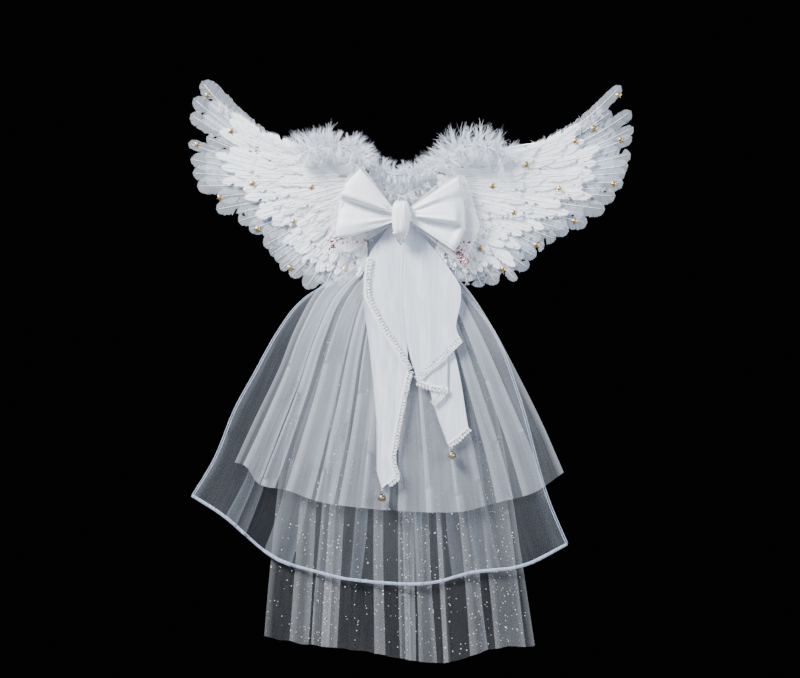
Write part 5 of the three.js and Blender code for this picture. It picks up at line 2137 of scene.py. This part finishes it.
@dataclass
class BackAssembly:
    """The felt pad, satin front cover, waist tape, straps and neck marabou, on their plastic board."""

    pad_corner: float = 12.0
    strap_width: float = 14.0
    strap_thick: float = 1.5

    STRAP = [(1.6, 44), (21.2, 53), (59.4, 56), (97.5, 39.2), (106, 0), (98.6, -46.2),
             (60.4, -66), (20.1, -62), (1.6, -44)]
    NECK = [(-47, 68), (-38, 62), (-20, 56), (0, 53), (20, 56), (38, 62), (47, 68)]
    THROAT = [(-34, 44), (-20, 36), (0, 27), (20, 36), (34, 44)]

    def plate(self, surface: Surface, low: np.ndarray, high: np.ndarray, corner: float,
              dome: float, rows: int = 22) -> None:
        """Adds a soft-edged plate that fills a box and swells a little in its middle.

        Args:
            surface: the surface to add to.
            low: the box's lowest corner.
            high: the box's highest corner.
            corner: the radius of the plate's corners.
            dome: how much lower the faces' edges are than their middles.
            rows: how many rings there are from the middle to the edge.
        """
        width, height = high[0] - low[0], high[2] - low[2]
        middle = (low + high) / 2
        half = (high[1] - low[1]) / 2
        around = 160
        outline = along_line(rounded_outline(width, height, corner), around, smooth=False)
        shares = np.r_[np.linspace(0.02, 1.0, rows), np.linspace(1.0, 0.02, rows)]
        flat = outline[None, :, :] * shares[:, None, None]
        face = np.r_[-np.ones(rows), np.ones(rows)]
        edge = np.clip((shares - 0.955) / 0.045, 0, 1)
        rise = half * np.sqrt(np.clip(1 - edge**2, 0.12, 1)) - dome * shares**4
        y = middle[1] + (face * rise)[:, None] * np.ones(around)[None, :]
        grid = np.stack([middle[0] + flat[..., 0], y, middle[2] + flat[..., 1]], axis=-1)
        first = surface.count
        surface.add_grid(grid, ring=True)
        surface.cap(first, around, flipped=True)
        surface.cap(first + (2 * rows - 1) * around, around)

    def stitch_round(self, surface: Surface, centre: tuple, size: tuple, corner: float, y: float,
                     rise: float, pitch: float = 3.2) -> None:
        """Adds a closed run of thread stitches round a rounded rectangle.

        Args:
            surface: the thread's surface.
            centre: the rectangle's (x, z) middle.
            size: its width and height.
            corner: its corners' radius.
            y: the depth of the cloth's face.
            rise: how far a stitch stands up.
            pitch: the length of a stitch.
        """
        outline = rounded_outline(*size, corner)
        line = np.vstack([outline, outline[:1]])
        count = 2 * int(np.linalg.norm(np.diff(line, axis=0), axis=1).sum() / pitch)
        spots = along_line(line, count, smooth=False)
        for start, end in zip(spots[:-1:2], spots[1::2]):
            span = np.linspace(0, 1, 5)[:, None]
            flat = lerp(start, end, span)
            bow = y + rise * np.sin(math.pi * span[:, 0])
            path = np.stack([centre[0] + flat[:, 0], bow, centre[1] + flat[:, 1]], axis=-1)
            surface.add_tube(path, 0.3, sides=5)

    def pad(self) -> None:
        """Makes the felt pad that rests on the wearer's back, with its edge stitching."""
        low, high = box_mm("back_pad")
        surface = Surface()
        self.plate(surface, low, high, self.pad_corner, 0.5)
        piece = place_piece(surface, "felt_back_pad", FELT, "back_assembly", ("back_pad",))
        thread = Surface()
        centre = ((low[0] + high[0]) / 2, (low[2] + high[2]) / 2)
        size = (high[0] - low[0], high[2] - low[2])
        self.stitch_round(thread, centre, (size[0] - 9, size[1] - 9), 9.0, high[1] - 0.45, 0.3)
        for side in Side:
            for level in ("upper", "lower"):
                a, b = box_mm(f"strap_anchor_{level}_{side.word}")
                spot = ((a[0] + b[0]) / 2, (a[2] + b[2]) / 2)
                box = (b[0] - a[0] - 3.5, b[2] - a[2] - 3.5)
                self.stitch_round(thread, spot, box, 1.2, b[1] + 0.25, 0.35, 2.2)
                cross = np.array([[-0.5, -0.5], [0.5, 0.5]]) * np.array(box)
                for mirror in (1, -1):
                    spots = along_line(cross * np.array([mirror, 1]), 10, smooth=False)
                    for start, end in zip(spots[:-1:2], spots[1::2]):
                        span = np.linspace(0, 1, 4)[:, None]
                        flat = lerp(start, end, span) + np.array(spot)
                        path = np.stack([flat[:, 0], b[1] + 0.25 + 0.3 * np.sin(math.pi * span[:, 0]),
                                         flat[:, 1]], axis=-1)
                        thread.add_tube(path, 0.28, sides=5)
        place_piece(thread, "pad_stitching", THREAD, "back_assembly")

    def anchors(self) -> None:
        """Makes the four webbing patches that the straps are sewn to."""
        for side in Side:
            for level in ("upper", "lower"):
                node = f"strap_anchor_{level}_{side.word}"
                low, high = box_mm(node)
                surface = Surface()
                low, high = low.copy(), high.copy()
                low[1], high[1] = high[1] - 1.5, high[1] + 0.3
                self.plate(surface, low, high, 1.6, 0.12, rows=10)
                place_piece(surface, f"webbing_patch_{level}_{side.word}", ELASTIC,
                            "back_assembly", (node,))

    def straps(self) -> None:
        """Makes the two ribbed elastic arm straps, narrowed where they are sewn to their patches."""
        for side in Side:
            low, high = box_mm(f"elastic_strap_{side.word}")
            middle = float((low[0] + high[0]) / 2)
            route = np.array([(middle, y, z) for y, z in self.STRAP], float)
            stations, sides = 150, 48
            path = along_line(route, stations)
            ahead = unit(np.gradient(path, axis=0))
            up = np.cross(ahead, np.array([1.0, 0, 0]))
            share = np.linspace(0, 1, stations)
            width = self.strap_width / 2 * lerp(0.72, 1.0, ease(np.minimum(share, 1 - share) / 0.07))
            angle = np.linspace(0, 2 * math.pi, sides, endpoint=False)
            flat_x = np.sign(np.cos(angle)) * np.abs(np.cos(angle)) ** 0.5
            ribs = 1 + 0.16 * np.cos(flat_x * 24)
            flat_y = np.sign(np.sin(angle)) * np.abs(np.sin(angle)) ** 0.6 * ribs
            gather = 1 + 0.05 * np.sin(share * 420)[:, None]
            grid = (path[:, None, :]
                    + np.array([1.0, 0, 0]) * (width[:, None] * flat_x[None, :] * gather)[..., None]
                    + up[:, None, :] * (self.strap_thick / 2 * flat_y[None, :] * gather)[..., None])
            surface = Surface()
            surface.add_grid(grid, ring=True, along=share[:, None] * 300 * np.ones(sides)[None, :],
                             across=np.broadcast_to(flat_x, grid.shape[:2]))
            surface.cap(0, sides, flipped=True)
            surface.cap((stations - 1) * sides, sides)
            bend = Bend("back_assembly", (middle * MM, 2.0 * MM, 0.0), (middle * MM, 18.0 * MM, 0.0))
            piece = place_piece(surface, f"ribbed_elastic_strap_{side.word}", ELASTIC,
                                f"strap_{side.word}", (f"elastic_strap_{side.word}",), bend=bend)

    def cover(self) -> None:
        """Makes the satin cover over the front of the board."""
        low, high = box_mm("front_cover")
        surface = Surface()
        self.plate(surface, low, high, 6.0, 0.25)
        # The cover uses the satin copy with painted shade.
        piece = place_piece(surface, "satin_front_cover", SHADED_SASH_SATIN, "back_assembly", ("front_cover",))

    def tape(self) -> None:
        """Makes the gathered tape that the train hangs from."""
        low, high = box_mm("waist_tape")
        rows, columns = 14, 150
        across = np.linspace(0, 1, columns)
        down = np.linspace(0, 1, rows)
        gather = np.sin(across * 190) * 0.5 + 0.5 * ripple(across * 60, 4)
        grid = np.zeros((rows, columns, 3))
        grid[..., 0] = lerp(low[0], high[0], across)[None, :]
        grid[..., 2] = lerp(high[2], low[2], down)[:, None] + 0.35 * gather[None, :]
        middle, thick = (low[1] + high[1]) / 2, (high[1] - low[1]) / 2
        front = grid.copy()
        front[..., 1] = middle - thick * (0.75 + 0.2 * gather[None, :])
        back = grid[:, ::-1].copy()
        back[..., 1] = middle + thick * 0.85
        surface = Surface()
        surface.add_grid(front)
        surface.add_grid(back)
        for edge in (0, -1):
            surface.add_grid(np.stack([front[edge], back[edge, ::-1]]))
            surface.add_grid(np.stack([front[:, edge], back[:, -1 - edge]]))
        piece = place_piece(surface, "gathered_waist_tape", SATIN, "back_assembly", ("waist_tape",))

    def build(self) -> None:
        """Builds every part of the back and dresses the board and hinge rods."""
        self.pad()
        self.anchors()
        self.cover()
        self.tape()
        self.straps()
        dress_node("back_board", PLASTIC)
        for side in Side:
            dress_node(f"hinge_rod_{side.word}", STEEL)
        y = middle_depth("marabou_neck")
        path = np.array([(x, y, z) for x, z in self.NECK], float)
        neck = Marabou(path, plumes=430, shortest=8.0, longest=24.0, seed=29, strands=16, droop=1.0)
        neck.build("neck_marabou", "back_assembly", "marabou_neck")
        front = float(box_mm("front_cover")[0][1]) - 3.5
        path = np.array([(x, front, z) for x, z in self.THROAT], float)
        throat = Marabou(path, plumes=240, shortest=10.0, longest=22.0, seed=37, strands=16, droop=0.5)
        throat.build("throat_marabou", "back_assembly", "")


@dataclass(frozen=True)
class Cut:
    """The size that a sheet was cut to, in metres, and its area where it isn't a rectangle."""

    width: float
    length: float
    area: float | None = None


# Studio


@dataclass
class Studio:
    """The camera, the soft lights, the dark surroundings and the pale floor."""

    lens: float = 108.0
    camera_at: tuple = (-0.0025, -3.0, -0.151)

    def camera(self) -> None:
        """Adds the camera, level and straight in front."""
        data = bpy.data.cameras.new("studio_camera")
        data.lens, data.sensor_width = self.lens, 36.0
        data.clip_end = 50.0
        camera = bpy.data.objects.new("studio_camera", data)
        camera.location = self.camera_at
        camera.rotation_euler = (math.pi / 2, 0, 0)
        bpy.context.scene.collection.objects.link(camera)
        bpy.context.scene.camera = camera

    def light(self, name: str, place: tuple, size: float, power: float, colour: tuple) -> None:
        """Adds a square soft light that faces the middle of the object.

        Args:
            name: the lamp's name.
            place: where it is, in metres.
            size: its side, in metres.
            power: its power, in watts.
            colour: its colour.
        """
        data = bpy.data.lights.new(name, "AREA")
        data.size, data.energy, data.color = size, power, colour
        lamp = bpy.data.objects.new(name, data)
        lamp.location = place
        aim = Vector((0.0, 0.0, -0.15)) - Vector(place)
        lamp.rotation_euler = aim.to_track_quat("-Z", "Y").to_euler()
        bpy.context.scene.collection.objects.link(lamp)

    def world(self) -> None:
        """Makes surroundings that light the object softly but look nearly black."""
        world = bpy.data.worlds.new("studio_world")
        world.use_nodes = True
        bpy.context.scene.world = world
        nodes = Nodes(world.node_tree)
        background = world.node_tree.nodes["Background"]
        path = nodes.add("ShaderNodeLightPath")
        colour = nodes.blend(path.outputs["Is Camera Ray"], (0.3, 0.36, 0.47, 1.0),
                             (0.0015, 0.0015, 0.0017, 1.0))
        nodes.feed(background.inputs["Color"], colour)
        background.inputs["Strength"].default_value = 1.0

    def floor(self) -> None:
        """Lays the pale floor below the hanging train."""
        height = -655.0
        surface = Surface()
        x = np.linspace(-520, 520, 9)
        y = np.linspace(-340, 340, 9)
        grid = np.stack(np.broadcast_arrays(x[None, :], y[:, None], height), axis=-1)
        surface.add_grid(grid)
        floor = surface.build("studio_floor", FLOOR)

    def build(self) -> None:
        """Sets up the whole studio."""
        self.camera()
        self.world()
        self.light("key_light", (-1.7, -1.4, 1.7), 0.8, 260.0, (1.0, 0.99, 0.98))
        self.light("fill_light", (1.9, -1.5, 0.3), 1.2, 50.0, (0.9, 0.95, 1.0))
        self.light("rim_light", (0.3, 1.2, 1.3), 0.8, 60.0, (0.9, 0.95, 1.0))
        self.floor()


def main() -> None:
    """Builds the studio and every sub-assembly in turn."""
    logging.basicConfig(level=logging.INFO, format="%(name)s: %(message)s")
    Studio().build()
    BackAssembly().build()
    Train().build()
    Bow().build()
    Sash().build()
    for side in Side:
        Wing(side).build()


if __name__ == "__main__":
    main()
